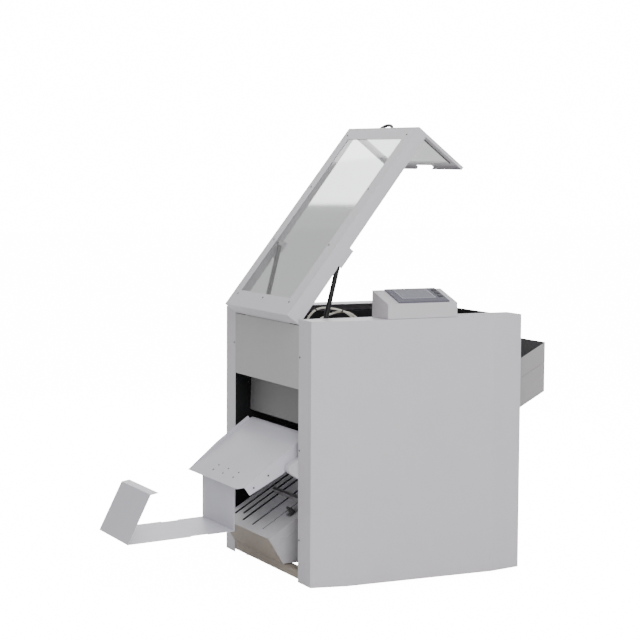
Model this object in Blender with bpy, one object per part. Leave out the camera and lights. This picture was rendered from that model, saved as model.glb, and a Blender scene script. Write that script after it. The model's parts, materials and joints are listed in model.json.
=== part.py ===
"""Floor-standing booklet maker: stitches sheets with wire from spools and folds them between rollers."""

import math

import bmesh
import bpy
from mathutils import Vector

# Every length is in metres, every angle in degrees.
# X runs from the exit end into the machine, Y from the near cover to the far cover, Z up from the cover's foot.

# Shared clearances and stock
GAP = 0.0003
RUN_GAP = 0.0006
OVERRUN = 0.01
SHEET = 0.0015
PLATE = 0.002
WALL = 0.003
ROUND_SIDES = 20
SMALL_SIDES = 12

# Covers
BODY_LENGTH = 0.8626
BODY_WIDTH = 0.818
COVER_HEIGHT = 0.950
COVER_LIFT = 0.012
COVER_BOW = 0.027
FACET_LENGTH = 0.131
NEAR_RETURN = 0.104
FAR_RETURN = 0.087

# Base frame and feet
RAIL_DROP = 0.011
RAIL_HEIGHT = 0.030
RAIL_WIDTH = 0.040
UPSTAND_HEIGHT = 0.064
FOOT_RADIUS = 0.022
FOOT_PAD = 0.010
FOOT_STEM_RADIUS = 0.006
FOOT_INSET = 0.060

# Side plates
SIDE_FLANGE = 0.030
SIDE_TOP_DROP = 0.024

# Lid
LID_ANGLE = 52.0
LID_LENGTH = 0.852
LID_DEPTH = 0.0577
LID_HINGE_DROP = 0.016
LID_HINGE_INSET = 0.005
LID_STEP_START = 0.231
LID_STEP_END = 0.265
LID_STEP_DEPTH = 0.055
LID_MID_DEPTH = 0.050
LID_END_DEPTH = 0.044
LID_PANEL_DEPTH = 0.238
LID_PANEL_RETURN = 0.012
LID_WINDOW_LOW = 0.070
LID_WINDOW_TOP = 0.055
LID_WINDOW_NEAR = 0.072
LID_WINDOW_FAR = 0.057
LID_PANEL_WINDOW_LOW = 0.039
LID_NOTCH_WIDTH = 0.120
LID_NOTCH_DEPTH = 0.012
GLAZING = 0.003
GLAZING_LAP = 0.012
HANDLE_WIDTH = 0.100
HANDLE_REACH = 0.028
HANDLE_THICKNESS = 0.022
HANDLE_DROP = 0.004
HINGE_RADIUS = 0.003
HINGE_LEAF = 0.030
HINGE_INSET = 0.090

# Gas struts
STRUT_TOP_ALONG = 0.312
STRUT_TOP_RISE = 0.023
STRUT_FOOT_X = 0.080
STRUT_FOOT_DROP = 0.150
STRUT_RADIUS = 0.009
STRUT_CASE = 0.245
STRUT_ROD_RADIUS = 0.004
STRUT_ROD_OVERLAP = 0.020
STRUT_EYE_RADIUS = 0.008
STRUT_EYE_WIDTH = 0.010
STRUT_STROKE = 0.1256
STRUT_STUD_RADIUS = 0.005
STRUT_STUD_LENGTH = 0.017

# Exit end
PANEL_TOP_DROP = 0.022
PANEL_HEIGHT = 0.229
PANEL_RETURN = 0.025
DEFLECTOR_X = 0.070
DEFLECTOR_LEAN = 0.007
DEFLECTOR_HEIGHT = 0.224
DEFLECTOR_DROP = 0.149
DEFLECTOR_LIP = 0.010
TOP_RAIL_X = 0.030
TOP_RAIL_SIZE = 0.020
TOP_RAIL_DROP = 0.045

# Delivery chute, measured from its front edge and along its slope
CHUTE_FRONT = 0.208
CHUTE_FRONT_Z = 0.343
CHUTE_ANGLE = 35.5
CHUTE_LENGTH = 0.312
CHUTE_NEAR = 0.170
CHUTE_FAR_CLEAR = 0.032
CHUTE_BEND = 0.022
CHUTE_TAIL = 0.012
CHUTE_BEND_STEPS = 6
CHUTE_RIM = 0.012
CHUTE_RIM_START = 0.018
CHUTE_FLANGE_START = 0.017
CHUTE_FLANGE_FRONT = 0.038
CHUTE_FLANGE_DEEP = 0.057
CHUTE_FLANGE_DEEP_AT = 0.162
CHUTE_FLANGE_REAR = 0.050
CHUTE_CORNER_ALONG = 0.017
CHUTE_CORNER_ACROSS = 0.036
CHUTE_PIN_RADIUS = 0.006
CHUTE_PIN_DROP = 0.030
ARM_REACH = 0.038
ARM_TOP_Z = 0.424
ARM_DEPTH = 0.052
ARM_REAR = 0.060
ARM_NOSE = 0.012

# Receiving tray
TRAY_WALL_X = 0.192
TRAY_FLOOR_Z = 0.179
TRAY_END_X = 0.596
TRAY_FALL = 0.016
TRAY_LEAN = 0.085
TRAY_END_RISE = 0.170
TRAY_LIP = 0.029
TRAY_LIP_RISE = 0.005
TRAY_LAP = 0.075
TRAY_NEAR = 0.265
TRAY_FAR_CLEAR = 0.137
TRAY_NOTCH_START = 0.292
TRAY_NOTCH_LENGTH = 0.067
TRAY_NOTCH_DEPTH = 0.010

# Bed, measured from its front edge and along its slope
BED_ANGLE = 31.3
BED_FRONT = 0.062
BED_FRONT_Z = 0.140
BED_NEAR = 0.250
BED_FAR_CLEAR = 0.119
BED_SKIRT = 0.1115
BED_PLATE_CLEAR = 0.012
BED_SPLIT = 0.440
BED_KNIFE_GAP = 0.020
BED_LENGTH = 1.050
SLOT_END = 0.400
SLOT_SHARES = (0.2534, 0.4638, 0.6719, 0.7851, 0.9005)
SLOT_WIDTHS = (0.008, 0.014, 0.018, 0.018, 0.018)
SLOT_STARTS = (0.030, 0.029, 0.031, 0.060, 0.045)
BEAM_NEAR = 0.168
BEAM_LENGTH = 0.400
BEAM_START = 0.300
CROSSBAR_WIDTH = 0.030
CROSSBAR_DEPTH = 0.020
CROSSBAR_ALONG = 0.360
STOP_ALONG = 0.200
STOP_HEIGHT = 0.022
STOP_THICKNESS = 0.012
STOP_MARGIN = 0.012
STOP_ARM_START = 0.125
STOP_ARM_WIDTH = 0.040
STOP_ARM_OFFSET = 0.062
STOP_LUG_PLAY = 0.002
KNOB_ALONG = 0.145
KNOB_RADIUS = 0.011
KNOB_HEIGHT = 0.020
KNOB_WING = 0.024
KNOB_WING_THICKNESS = 0.006
GUIDE_START = 0.800
GUIDE_END = 1.000
GUIDE_HEIGHT = 0.035
GUIDE_FOOT = 0.018
GUIDE_INSET = 0.014

# Stitching: heads above the bed, clinch bar below it
HEAD_ALONG = 0.700
HEAD_LENGTH = 0.050
HEAD_WIDTH = 0.060
HEAD_BOTTOM = 0.020
HEAD_HEIGHT = 0.100
HEAD_SPACING_SHARE = 0.4925
HEAD_NEAR_SHARE = 0.2537
DRIVER_WIDTH = 0.016
DRIVER_THICKNESS = 0.006
DRIVER_LENGTH = 0.013
CLINCH_WIDTH = 0.030
CLINCH_DEPTH = 0.030
STITCH_BEAM_WIDTH = 0.060
STITCH_BEAM_DEPTH = 0.045
SPOOL_RADIUS = 0.045
SPOOL_WIDTH = 0.026
SPOOL_CORE = 0.018
SPOOL_BORE = 0.0066
SPOOL_PIN = 0.006
SPOOL_CHEEK = 0.003
SPOOL_RISE = 0.060
SPOOL_ARM_WIDTH = 0.024
SPOOL_ARM_THICKNESS = 0.005

# Folding
KNIFE_THICKNESS = 0.006
KNIFE_TOP = 0.004
KNIFE_DEPTH = 0.076
KNIFE_MARGIN = 0.020
CARRIER_WIDTH = 0.024
CARRIER_DEPTH = 0.014
ROLLER_RADIUS = 0.020
ROLLER_RISE = 0.056
ROLLER_NEAR = 0.200
ROLLER_FAR_CLEAR = 0.144
JOURNAL_RADIUS = 0.008
BEARING_THICKNESS = 0.018
BEARING_HEIGHT = 0.060
BEARING_LENGTH = 0.090
GEAR_WIDTH = 0.012
GEAR_TEETH = 16
GEAR_TOOTH = 0.0032
TOOTH_TIP_SHARE = 0.22
TOOTH_ROOT_SHARE = 0.52

# Drive
MOTOR_X = 0.560
MOTOR_Z = 0.250
MOTOR_RADIUS = 0.036
MOTOR_LENGTH = 0.094
SHAFT_RADIUS = 0.005
PULLEY_RADIUS = 0.014
PULLEY_FAR_CLEAR = 0.116
PULLEY_WIDTH = 0.012
BELT_THICKNESS = 0.002

# Hopper and infeed end
HOPPER_LENGTH = 0.1814
HOPPER_ANGLE = 28.0
HOPPER_NEAR = 0.1455
HOPPER_FAR_INSET = 0.128
HOPPER_BOTTOM_Z = 0.639
HOPPER_SEAM_Z = 0.752
HOPPER_RIM_Z = 0.828
INFEED_SLOT_HEIGHT = 0.060
INFEED_MARGIN = 0.035
REAR_RAIL_INSET = 0.0426
REAR_RAIL_DROP = 0.008
REAR_RAIL_HEIGHT = 0.036
INLET_FAR_INSET = 0.218
INLET_Z = 0.130
INLET_WIDTH = 0.030
INLET_HEIGHT = 0.050
INLET_DEPTH = 0.006
SWITCH_WIDTH = 0.014
SWITCH_HEIGHT = 0.020
SWITCH_PROUD = 0.002
POCKET_DEPTH = 0.004

# Operator console
CONSOLE_START = 0.291
CONSOLE_LENGTH = 0.284
CONSOLE_NEAR = 0.002
CONSOLE_FAR = 0.129
CONSOLE_FRONT_HEIGHT = 0.054
CONSOLE_REAR_HEIGHT = 0.097
PANEL_START = 0.0465
PANEL_WIDTH = 0.2075
PANEL_LOW = 0.006
PANEL_SPAN = 0.124
PANEL_PROUD = 0.005
KEY_COUNT = 3
KEY_SIZE = 0.016
KEY_STEP = 0.026
KEY_FIRST = 0.046
KEY_INSET = 0.016
KEY_PROUD = 0.001
KEY_POCKET = 0.0035
KEY_TRAVEL = 0.0008

# Air hoses: the routes' points, chosen by hand, from exit rail to stitch beam, their Y from the hose's own end
HOSE_RADIUS = 0.004
HOSE_ROUTE = (
    (0.0506, -0.050, 0.896), (0.058, -0.050, 0.896), (0.07, -0.049, 0.901), (0.095, -0.041, 0.950),
    (0.141, -0.035, 0.976), (0.204, -0.035, 0.971), (0.258, -0.033, 0.950), (0.33, -0.027, 0.885),
    (0.395, -0.015, 0.790), (0.43, 0.000, 0.715),
)
HOSE_TWO_ROUTE = (
    (0.0506, -0.110, 0.896), (0.058, -0.110, 0.896), (0.072, -0.111, 0.898), (0.12, -0.120, 0.915),
    (0.173, -0.135, 0.943), (0.222, -0.142, 0.958), (0.275, -0.142, 0.951), (0.34, -0.120, 0.900),
    (0.405, -0.055, 0.805), (0.44, -0.010, 0.720),
)
HOSE_STEPS = 5
HOSE_END_CLEAR = 0.024
HOSE_END_SHARE = 0.4545
HOSE_END_INSET = 0.004
HOSE_END_RISE = 0.030

# Places worked out from the sizes above
FAR_Y = BODY_WIDTH - FAR_RETURN - COVER_BOW
NEAR_Y = COVER_BOW + NEAR_RETURN
CENTRE_Y = (NEAR_Y + FAR_Y) / 2
CENTRE_X = (BODY_LENGTH + HOPPER_LENGTH - TRAY_END_X) / 2
LID_Z = COVER_HEIGHT - LID_HINGE_DROP
LID_NEAR = NEAR_Y + RUN_GAP
LID_FAR = FAR_Y - RUN_GAP
RAIL_TOP = RAIL_DROP + RAIL_HEIGHT
SIDE_TOP = COVER_HEIGHT - SIDE_TOP_DROP
SIDE_LENGTH_END = BODY_LENGTH - SHEET - GAP
INNER_NEAR = NEAR_Y + GAP
INNER_FAR = FAR_Y - GAP
STRUT_FOOT_Z = COVER_HEIGHT - STRUT_FOOT_DROP
REAR_RAIL_X = BODY_LENGTH - REAR_RAIL_INSET
CHUTE_FAR = FAR_Y - CHUTE_FAR_CLEAR
TRAY_FAR = FAR_Y - TRAY_FAR_CLEAR
BED_FAR = FAR_Y - BED_FAR_CLEAR
BED_PLATE_FAR = FAR_Y - BED_PLATE_CLEAR
BED_WIDTH = BED_FAR - BED_NEAR
HEAD_NEAR = BED_NEAR + BED_WIDTH * HEAD_NEAR_SHARE
HEAD_SPACING = BED_WIDTH * HEAD_SPACING_SHARE
ROLLER_FAR = FAR_Y - ROLLER_FAR_CLEAR
PULLEY_NEAR = FAR_Y - PULLEY_FAR_CLEAR
MOTOR_FRONT = FAR_Y - MOTOR_LENGTH
HOPPER_FAR = BODY_WIDTH - HOPPER_FAR_INSET
INLET_Y = BODY_WIDTH - INLET_FAR_INSET

COLOURS = {
    "grey_paint": ((0.56, 0.54, 0.57), 0.45, 0.0),
    "tan_steel": ((0.40, 0.34, 0.28), 0.5, 0.2),
    "black_paint": ((0.015, 0.015, 0.018), 0.5, 0.0),
    "black_plastic": ((0.02, 0.02, 0.022), 0.4, 0.0),
    "steel": ((0.55, 0.55, 0.56), 0.3, 1.0),
    "rubber": ((0.03, 0.03, 0.03), 0.8, 0.0),
    "clear": ((0.90, 0.93, 0.93), 0.05, 0.0),
    "console_plastic": ((0.60, 0.59, 0.61), 0.5, 0.0),
    "panel_plastic": ((0.20, 0.21, 0.27), 0.3, 0.0),
    "hose": ((0.75, 0.74, 0.70), 0.35, 0.0),
    "wire": ((0.45, 0.30, 0.16), 0.3, 1.0),
}


def clear_scene():
    for thing in list(bpy.data.objects):
        bpy.data.objects.remove(thing, do_unlink=True)


def material(name):
    found = bpy.data.materials.get(name)
    if found:
        return found
    colour, roughness, metallic = COLOURS[name]
    made = bpy.data.materials.new(name)
    made.use_nodes = True
    shader = made.node_tree.nodes["Principled BSDF"]
    shader.inputs["Base Color"].default_value = (*colour, 1.0)
    shader.inputs["Roughness"].default_value = roughness
    shader.inputs["Metallic"].default_value = metallic
    return made


def empty(name, place=(0, 0, 0), turn=0.0, parent=None):
    """A frame that carries pieces, turned by degrees about Y."""
    made = bpy.data.objects.new(name, None)
    made.location = place
    made.rotation_euler = (0, math.radians(turn), 0)
    made.parent = parent
    bpy.context.scene.collection.objects.link(made)
    return made


def piece(name, build, finish, parent, pivot=(0, 0, 0), smooth=False):
    """Makes a named object from a bmesh, with its origin at pivot in its parent's frame."""
    bmesh.ops.recalc_face_normals(build, faces=build.faces)
    bmesh.ops.translate(build, verts=build.verts, vec=-Vector(pivot))
    mesh = bpy.data.meshes.new(name)
    build.to_mesh(mesh)
    build.free()
    if smooth:
        mesh.shade_smooth()
        mesh.set_sharp_from_angle(angle=math.radians(35))
    mesh.materials.append(material(finish))
    made = bpy.data.objects.new(name, mesh)
    made.location = pivot
    made.parent = parent
    bpy.context.scene.collection.objects.link(made)
    return made


def block(low, high):
    """A box between two corners."""
    build = bmesh.new()
    bmesh.ops.create_cube(build, size=1.0)
    low = Vector(low)
    span = Vector(high) - low
    for vert in build.verts:
        share = vert.co + Vector((0.5, 0.5, 0.5))
        vert.co = low + Vector(share[k] * span[k] for k in range(3))
    return build


def prism(outline, low, high, across="y"):
    """A flat outline pushed from low to high across its plane: x and z for y, x and y for z, y and z for x."""
    order = {"y": lambda a, b, c: (a, c, b), "z": lambda a, b, c: (a, b, c), "x": lambda a, b, c: (c, a, b)}[across]
    build = bmesh.new()
    face = build.faces.new([build.verts.new(order(a, b, low)) for a, b in outline])
    pushed = bmesh.ops.extrude_face_region(build, geom=[face])["geom"]
    moved = [item for item in pushed if isinstance(item, bmesh.types.BMVert)]
    bmesh.ops.translate(build, verts=moved, vec=Vector(order(0, 0, high - low)))
    return build


def shifted(path, distance):
    """The path moved sideways to its left by distance, with mitred corners."""
    points = [Vector(point) for point in path]
    sides = []
    for start, end in zip(points, points[1:]):
        run = (end - start).normalized()
        sides.append(Vector((-run.y, run.x)))
    moved = [points[0] + sides[0] * distance]
    for point, before, after in zip(points[1:], sides, sides[1:]):
        middle = (before + after).normalized()
        moved.append(point + middle * (distance / middle.dot(before)))
    moved.append(points[-1] + sides[-1] * distance)
    return [tuple(point) for point in moved]


def bent(path, thickness, low, high, across="y"):
    """Sheet metal folded along a path and of one thickness, on the path's left."""
    return prism(list(path) + shifted(path, thickness)[::-1], low, high, across)


def turned(profile, low_axis="y", centre=(0, 0, 0), sides=ROUND_SIDES):
    """A closed profile of (radius, along) points turned round an axis through centre."""
    build = bmesh.new()
    rings = []
    for step in range(sides):
        angle = 2 * math.pi * step / sides
        cos, sin = math.cos(angle), math.sin(angle)
        ring = []
        for radius, along in profile:
            a, b = radius * cos, radius * sin
            spot = {"y": (a, along, b), "x": (along, a, b), "z": (a, b, along)}[low_axis]
            ring.append(build.verts.new(Vector(centre) + Vector(spot)))
        rings.append(ring)
    count = len(profile)
    for step in range(sides):
        here, there = rings[step], rings[(step + 1) % sides]
        for k in range(count):
            after = (k + 1) % count
            if profile[k][0] or profile[after][0]:
                build.faces.new([here[k], here[after], there[after], there[k]])
    bmesh.ops.remove_doubles(build, verts=build.verts, dist=0.000001)
    bmesh.ops.dissolve_degenerate(build, edges=build.edges, dist=0.000001)
    return build


def rod(radius, low, high, axis="y", centre=(0, 0, 0), sides=ROUND_SIDES):
    """A plain round bar between two places on its axis."""
    return turned([(0, low), (radius, low), (radius, high), (0, high)], axis, centre, sides)


def helper(name, build, parent):
    """A cutter or an added shape, left out of the model itself."""
    made = piece(name, build, "steel", parent)
    made.hide_render = True
    made.display_type = "WIRE"
    return made


def change(target, build, operation, parent=None):
    """Cuts a shape out of a piece, or fuses it on."""
    tool = helper(f"{target.name}_{operation.lower()}_{len(target.modifiers)}", build, parent or target.parent)
    step = target.modifiers.new(tool.name, "BOOLEAN")
    step.operation = operation
    step.solver = "EXACT"
    step.object = tool
    return target


def cut(target, build, parent=None):
    return change(target, build, "DIFFERENCE", parent)


def fuse(target, build, parent=None):
    return change(target, build, "UNION", parent)


def soften(target, width, angle=40):
    """Rounds a piece's sharp edges."""
    step = target.modifiers.new("rounding", "BEVEL")
    step.width = width
    step.segments = 2
    step.limit_method = "ANGLE"
    step.angle_limit = math.radians(angle)
    return target


def tube(name, points, radius, finish, parent):
    """A round hose through points, on a smooth curve between them."""
    spots = [Vector(point) for point in points]
    ends = [spots[0] * 2 - spots[1]] + spots + [spots[-1] * 2 - spots[-2]]
    path = []
    for before, start, end, after in zip(ends, ends[1:], ends[2:], ends[3:]):
        for step in range(HOSE_STEPS):
            t = step / HOSE_STEPS
            path.append(0.5 * (2 * start + (end - before) * t
                               + (2 * before - 5 * start + 4 * end - after) * t * t
                               + (3 * start - before - 3 * end + after) * t ** 3))
    path.append(spots[-1])
    curve = bpy.data.curves.new(name, "CURVE")
    curve.dimensions = "3D"
    curve.bevel_depth = radius
    curve.bevel_resolution = 2
    curve.use_fill_caps = True
    line = curve.splines.new("POLY")
    line.points.add(len(path) - 1)
    for point, spot in zip(line.points, path):
        point.co = (*spot, 1.0)
    curve.materials.append(material(finish))
    made = bpy.data.objects.new(name, curve)
    made.parent = parent
    bpy.context.scene.collection.objects.link(made)
    return made


def cover_path(outer, inner, bow):
    """The plan of a bowed cover: return, facet, flat side, facet, return."""
    near = outer + bow
    return [(0, inner), (0, near), (FACET_LENGTH, outer), (BODY_LENGTH - FACET_LENGTH, outer),
            (BODY_LENGTH, near), (BODY_LENGTH, inner)]


def make_cover(name, outer, inner, bow, side, root):
    """A cover open towards the machine and below, closed on top."""
    path = cover_path(outer, inner, bow)
    cover = piece(name, prism(path, 0, COVER_HEIGHT, "z"), "grey_paint", root)
    hollow = shifted(path, SHEET * side)
    past = math.copysign(OVERRUN, inner - outer)
    hollow = [(hollow[0][0], inner + past)] + hollow[1:-1] + [(hollow[-1][0], inner + past)]
    return cut(cover, prism(hollow, -OVERRUN, COVER_HEIGHT - SHEET, "z"))


def make_covers(root):
    make_cover("near_cover", 0, NEAR_Y, COVER_BOW, 1, root)
    make_cover("far_cover", BODY_WIDTH, FAR_Y, -COVER_BOW, -1, root)


def make_base(root):
    """The base ring, the upstand that shows under the bed and four levelling feet."""
    start, end = SHEET + GAP, SIDE_LENGTH_END
    near, far = NEAR_Y - SIDE_FLANGE, FAR_Y + SIDE_FLANGE
    base = piece("base_frame", block((start, near, RAIL_DROP), (end, far, RAIL_TOP)), "tan_steel", root)
    cut(base, block((start + RAIL_WIDTH, near + RAIL_WIDTH + SIDE_FLANGE, RAIL_DROP - OVERRUN),
                    (end - RAIL_WIDTH, far - RAIL_WIDTH - SIDE_FLANGE, RAIL_TOP + OVERRUN)))
    fuse(base, block((start, BED_NEAR + GAP, RAIL_TOP - GAP), (start + PLATE, INNER_FAR, RAIL_TOP + UPSTAND_HEIGHT)))
    number = 0
    for x in (start + FOOT_INSET, end - FOOT_INSET):
        for y in (NEAR_Y + RAIL_WIDTH / 2, FAR_Y - RAIL_WIDTH / 2):
            number += 1
            low = -COVER_LIFT
            profile = [(0, low), (FOOT_RADIUS, low), (FOOT_RADIUS, low + FOOT_PAD / 2),
                       (FOOT_STEM_RADIUS, low + FOOT_PAD), (FOOT_STEM_RADIUS, RAIL_DROP - GAP), (0, RAIL_DROP - GAP)]
            piece(f"levelling_foot_{number}", turned(profile, "z", (x, y, 0)), "rubber", root, (x, y, 0), True)


def make_side(name, inner, side, root):
    """A side plate with flanges that the cover is screwed to, a boss for the chute and a stud for a strut."""
    start = SHEET + GAP
    reach = inner - side * SIDE_FLANGE
    path = [(start, reach), (start, inner), (SIDE_LENGTH_END, inner), (SIDE_LENGTH_END, reach)]
    plate = piece(name, bent(path, -WALL * side, RAIL_TOP + GAP, SIDE_TOP, "z"), "black_paint", root)
    pin = chute_pin()
    chute_side = CHUTE_NEAR - GAP if side > 0 else CHUTE_FAR + GAP
    embed = inner - side * WALL / 2
    for x, z, radius, reach in ((pin[0], pin[1], CHUTE_PIN_RADIUS, chute_side),
                                (STRUT_FOOT_X, STRUT_FOOT_Z, STRUT_STUD_RADIUS, inner + side * STRUT_STUD_LENGTH)):
        fuse(plate, rod(radius, min(embed, reach), max(embed, reach), "y", (x, 0, z), SMALL_SIDES))
    return plate


def make_exit_end(root):
    """The upper panel, the deflector behind it and the cross rail under the lid's hinge."""
    top = COVER_HEIGHT - PANEL_TOP_DROP
    low = top - PANEL_HEIGHT
    piece("exit_upper_panel", bent([(0, top), (0, low), (PANEL_RETURN, low)], SHEET, INNER_NEAR, INNER_FAR),
          "grey_paint", root)
    high = top - DEFLECTOR_DROP
    foot = high - DEFLECTOR_HEIGHT
    path = [(DEFLECTOR_X, high), (DEFLECTOR_X - DEFLECTOR_LEAN, foot),
            (DEFLECTOR_X - DEFLECTOR_LEAN + DEFLECTOR_LIP, foot - DEFLECTOR_LIP / 2)]
    piece("exit_deflector", bent(path, PLATE, INNER_NEAR, INNER_FAR), "grey_paint", root)
    for name, x, drop, height in (("exit_top_rail", TOP_RAIL_X, TOP_RAIL_DROP, TOP_RAIL_SIZE),
                                  ("infeed_top_rail", REAR_RAIL_X, REAR_RAIL_DROP, REAR_RAIL_HEIGHT)):
        rail = COVER_HEIGHT - drop
        piece(name, block((x, INNER_NEAR, rail - height), (x + TOP_RAIL_SIZE, INNER_FAR, rail)), "black_paint", root)


def make_lid(root):
    """The hinged lid in its closed shape, carried by a frame that holds it open."""
    frame = empty("lid_frame_axis", (LID_HINGE_INSET, 0, LID_Z), -LID_ANGLE, root)
    start = -LID_HINGE_INSET
    end = start + LID_LENGTH
    low = LID_DEPTH - LID_PANEL_DEPTH
    shell = [(start, 0), (start, LID_DEPTH), (end, LID_DEPTH), (end, low), (end - LID_PANEL_RETURN, low),
             (end - LID_PANEL_RETURN, LID_DEPTH - LID_END_DEPTH), (LID_STEP_END, LID_DEPTH - LID_MID_DEPTH),
             (LID_STEP_START, LID_DEPTH - LID_STEP_DEPTH)]
    lid = piece("lid_frame", prism(shell, LID_NEAR, LID_FAR), "grey_paint", frame)
    past = end - LID_PANEL_RETURN - OVERRUN
    hollow = [(start + SHEET, -OVERRUN), (start + SHEET, LID_DEPTH - SHEET), (end - SHEET, LID_DEPTH - SHEET),
              (end - SHEET, low + SHEET), (past, low + SHEET), (past, -OVERRUN)]
    cut(lid, prism(hollow, LID_NEAR + SHEET, LID_FAR - SHEET))
    near, far = LID_NEAR + LID_WINDOW_NEAR, LID_FAR - LID_WINDOW_FAR
    cut(lid, block((start + LID_WINDOW_LOW, near, LID_DEPTH - OVERRUN), (end - LID_WINDOW_TOP, far, LID_DEPTH + OVERRUN)))
    cut(lid, block((end - OVERRUN, near, low + LID_PANEL_WINDOW_LOW),
                   (end + OVERRUN, far, LID_DEPTH - LID_END_DEPTH)))
    cut(lid, block((end - LID_PANEL_RETURN - OVERRUN, CENTRE_Y - LID_NOTCH_WIDTH / 2, low - OVERRUN),
                   (end + OVERRUN, CENTRE_Y + LID_NOTCH_WIDTH / 2, low + LID_NOTCH_DEPTH)))
    for inner, side in ((LID_NEAR, 1), (LID_FAR, -1)):
        reach = (inner + side * SHEET / 2, inner + side * (STRUT_STUD_LENGTH - RUN_GAP))
        fuse(lid, rod(STRUT_STUD_RADIUS, min(reach), max(reach), "y", (STRUT_TOP_ALONG, 0, STRUT_TOP_RISE),
                      SMALL_SIDES))
    top = LID_DEPTH - SHEET - GAP
    window = [(start + LID_WINDOW_LOW - GLAZING_LAP, top), (end - SHEET - GAP, top),
              (end - SHEET - GAP, low + LID_PANEL_WINDOW_LOW - GLAZING_LAP)]
    piece("lid_window", bent(window, -GLAZING, near - GLAZING_LAP, far + GLAZING_LAP), "clear", frame)
    grip = end + GAP
    high = LID_DEPTH - HANDLE_DROP
    rows = [(grip, CENTRE_Y - HANDLE_WIDTH / 2), (grip + HANDLE_REACH * 0.7, CENTRE_Y - HANDLE_WIDTH / 3),
            (grip + HANDLE_REACH, CENTRE_Y - HANDLE_WIDTH / 6), (grip + HANDLE_REACH, CENTRE_Y + HANDLE_WIDTH / 6),
            (grip + HANDLE_REACH * 0.7, CENTRE_Y + HANDLE_WIDTH / 3), (grip, CENTRE_Y + HANDLE_WIDTH / 2)]
    piece("lid_handle", prism(rows, high - HANDLE_THICKNESS, high, "z"), "black_plastic", frame)
    return frame


def make_hinge(root):
    """The hinge leaf behind the exit panel, with its knuckle on the lid's axis."""
    low, high = NEAR_Y + HINGE_INSET, FAR_Y - HINGE_INSET
    back = SHEET + GAP
    top = COVER_HEIGHT - PANEL_TOP_DROP
    leaf = piece("lid_hinge", block((back, low, top - HINGE_LEAF), (back + PLATE, high, top)), "steel", root)
    fuse(leaf, block((back + PLATE / 2, low, top - PLATE * 2), (LID_HINGE_INSET + PLATE / 2, high, top - GAP)))
    fuse(leaf, block((LID_HINGE_INSET - PLATE / 2, low, top - PLATE), (LID_HINGE_INSET + PLATE / 3, high, LID_Z)))
    fuse(leaf, rod(HINGE_RADIUS, low, high, "y", (LID_HINGE_INSET, 0, LID_Z), SMALL_SIDES))


def strut_places():
    """The strut's top pivot, its foot and the direction from foot to top, with the lid open."""
    turn = math.radians(LID_ANGLE)
    x = LID_HINGE_INSET + STRUT_TOP_ALONG * math.cos(turn) - STRUT_TOP_RISE * math.sin(turn)
    z = LID_Z + STRUT_TOP_ALONG * math.sin(turn) + STRUT_TOP_RISE * math.cos(turn)
    length = math.hypot(x - STRUT_FOOT_X, z - STRUT_FOOT_Z)
    return (x, z), (STRUT_FOOT_X, STRUT_FOOT_Z), length


def make_struts(root):
    """Two gas struts: a case hung from the lid and a rod whose eye turns on a stud below."""
    top, foot, length = strut_places()
    turn = math.degrees(math.atan2(top[0] - foot[0], top[1] - foot[1]))
    for side, stud in (("near", NEAR_Y + STRUT_STUD_LENGTH), ("far", FAR_Y - STRUT_STUD_LENGTH)):
        sign = 1 if side == "near" else -1
        y = stud + sign * (GAP + STRUT_EYE_WIDTH / 2)
        frame = empty(f"strut_{side}_axis", (top[0], y, top[1]), turn, root)
        bore = STRUT_ROD_RADIUS + GAP
        start = -STRUT_EYE_RADIUS
        end = start - STRUT_CASE
        inside = end + STRUT_STROKE + STRUT_ROD_OVERLAP * 1.5
        profile = [(0, inside), (bore, inside), (bore, end), (STRUT_RADIUS, end), (STRUT_RADIUS, start - PLATE),
                   (STRUT_ROD_RADIUS, start), (STRUT_ROD_RADIUS, -PLATE), (0, -PLATE)]
        case = piece(f"strut_cylinder_{side}", turned(profile, "z", sides=16), "black_paint", frame, smooth=True)
        fuse(case, rod(STRUT_EYE_RADIUS, -STRUT_EYE_WIDTH / 2, STRUT_EYE_WIDTH / 2, "y"))
        bar = rod(STRUT_ROD_RADIUS, -length, end + STRUT_ROD_OVERLAP, "z", sides=SMALL_SIDES)
        shaft = piece(f"strut_rod_{side}", bar, "steel", frame, smooth=True)
        fuse(shaft, rod(STRUT_EYE_RADIUS, -STRUT_EYE_WIDTH / 2, STRUT_EYE_WIDTH / 2, "y", (0, 0, -length)))


def chute_pin():
    """Where the chute turns: below the start of its rear bend."""
    turn = math.radians(CHUTE_ANGLE)
    along, drop = CHUTE_LENGTH - CHUTE_BEND / 2, CHUTE_PIN_DROP
    return (-CHUTE_FRONT + along * math.cos(turn) + drop * math.sin(turn),
            CHUTE_FRONT_Z + along * math.sin(turn) - drop * math.cos(turn))


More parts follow.
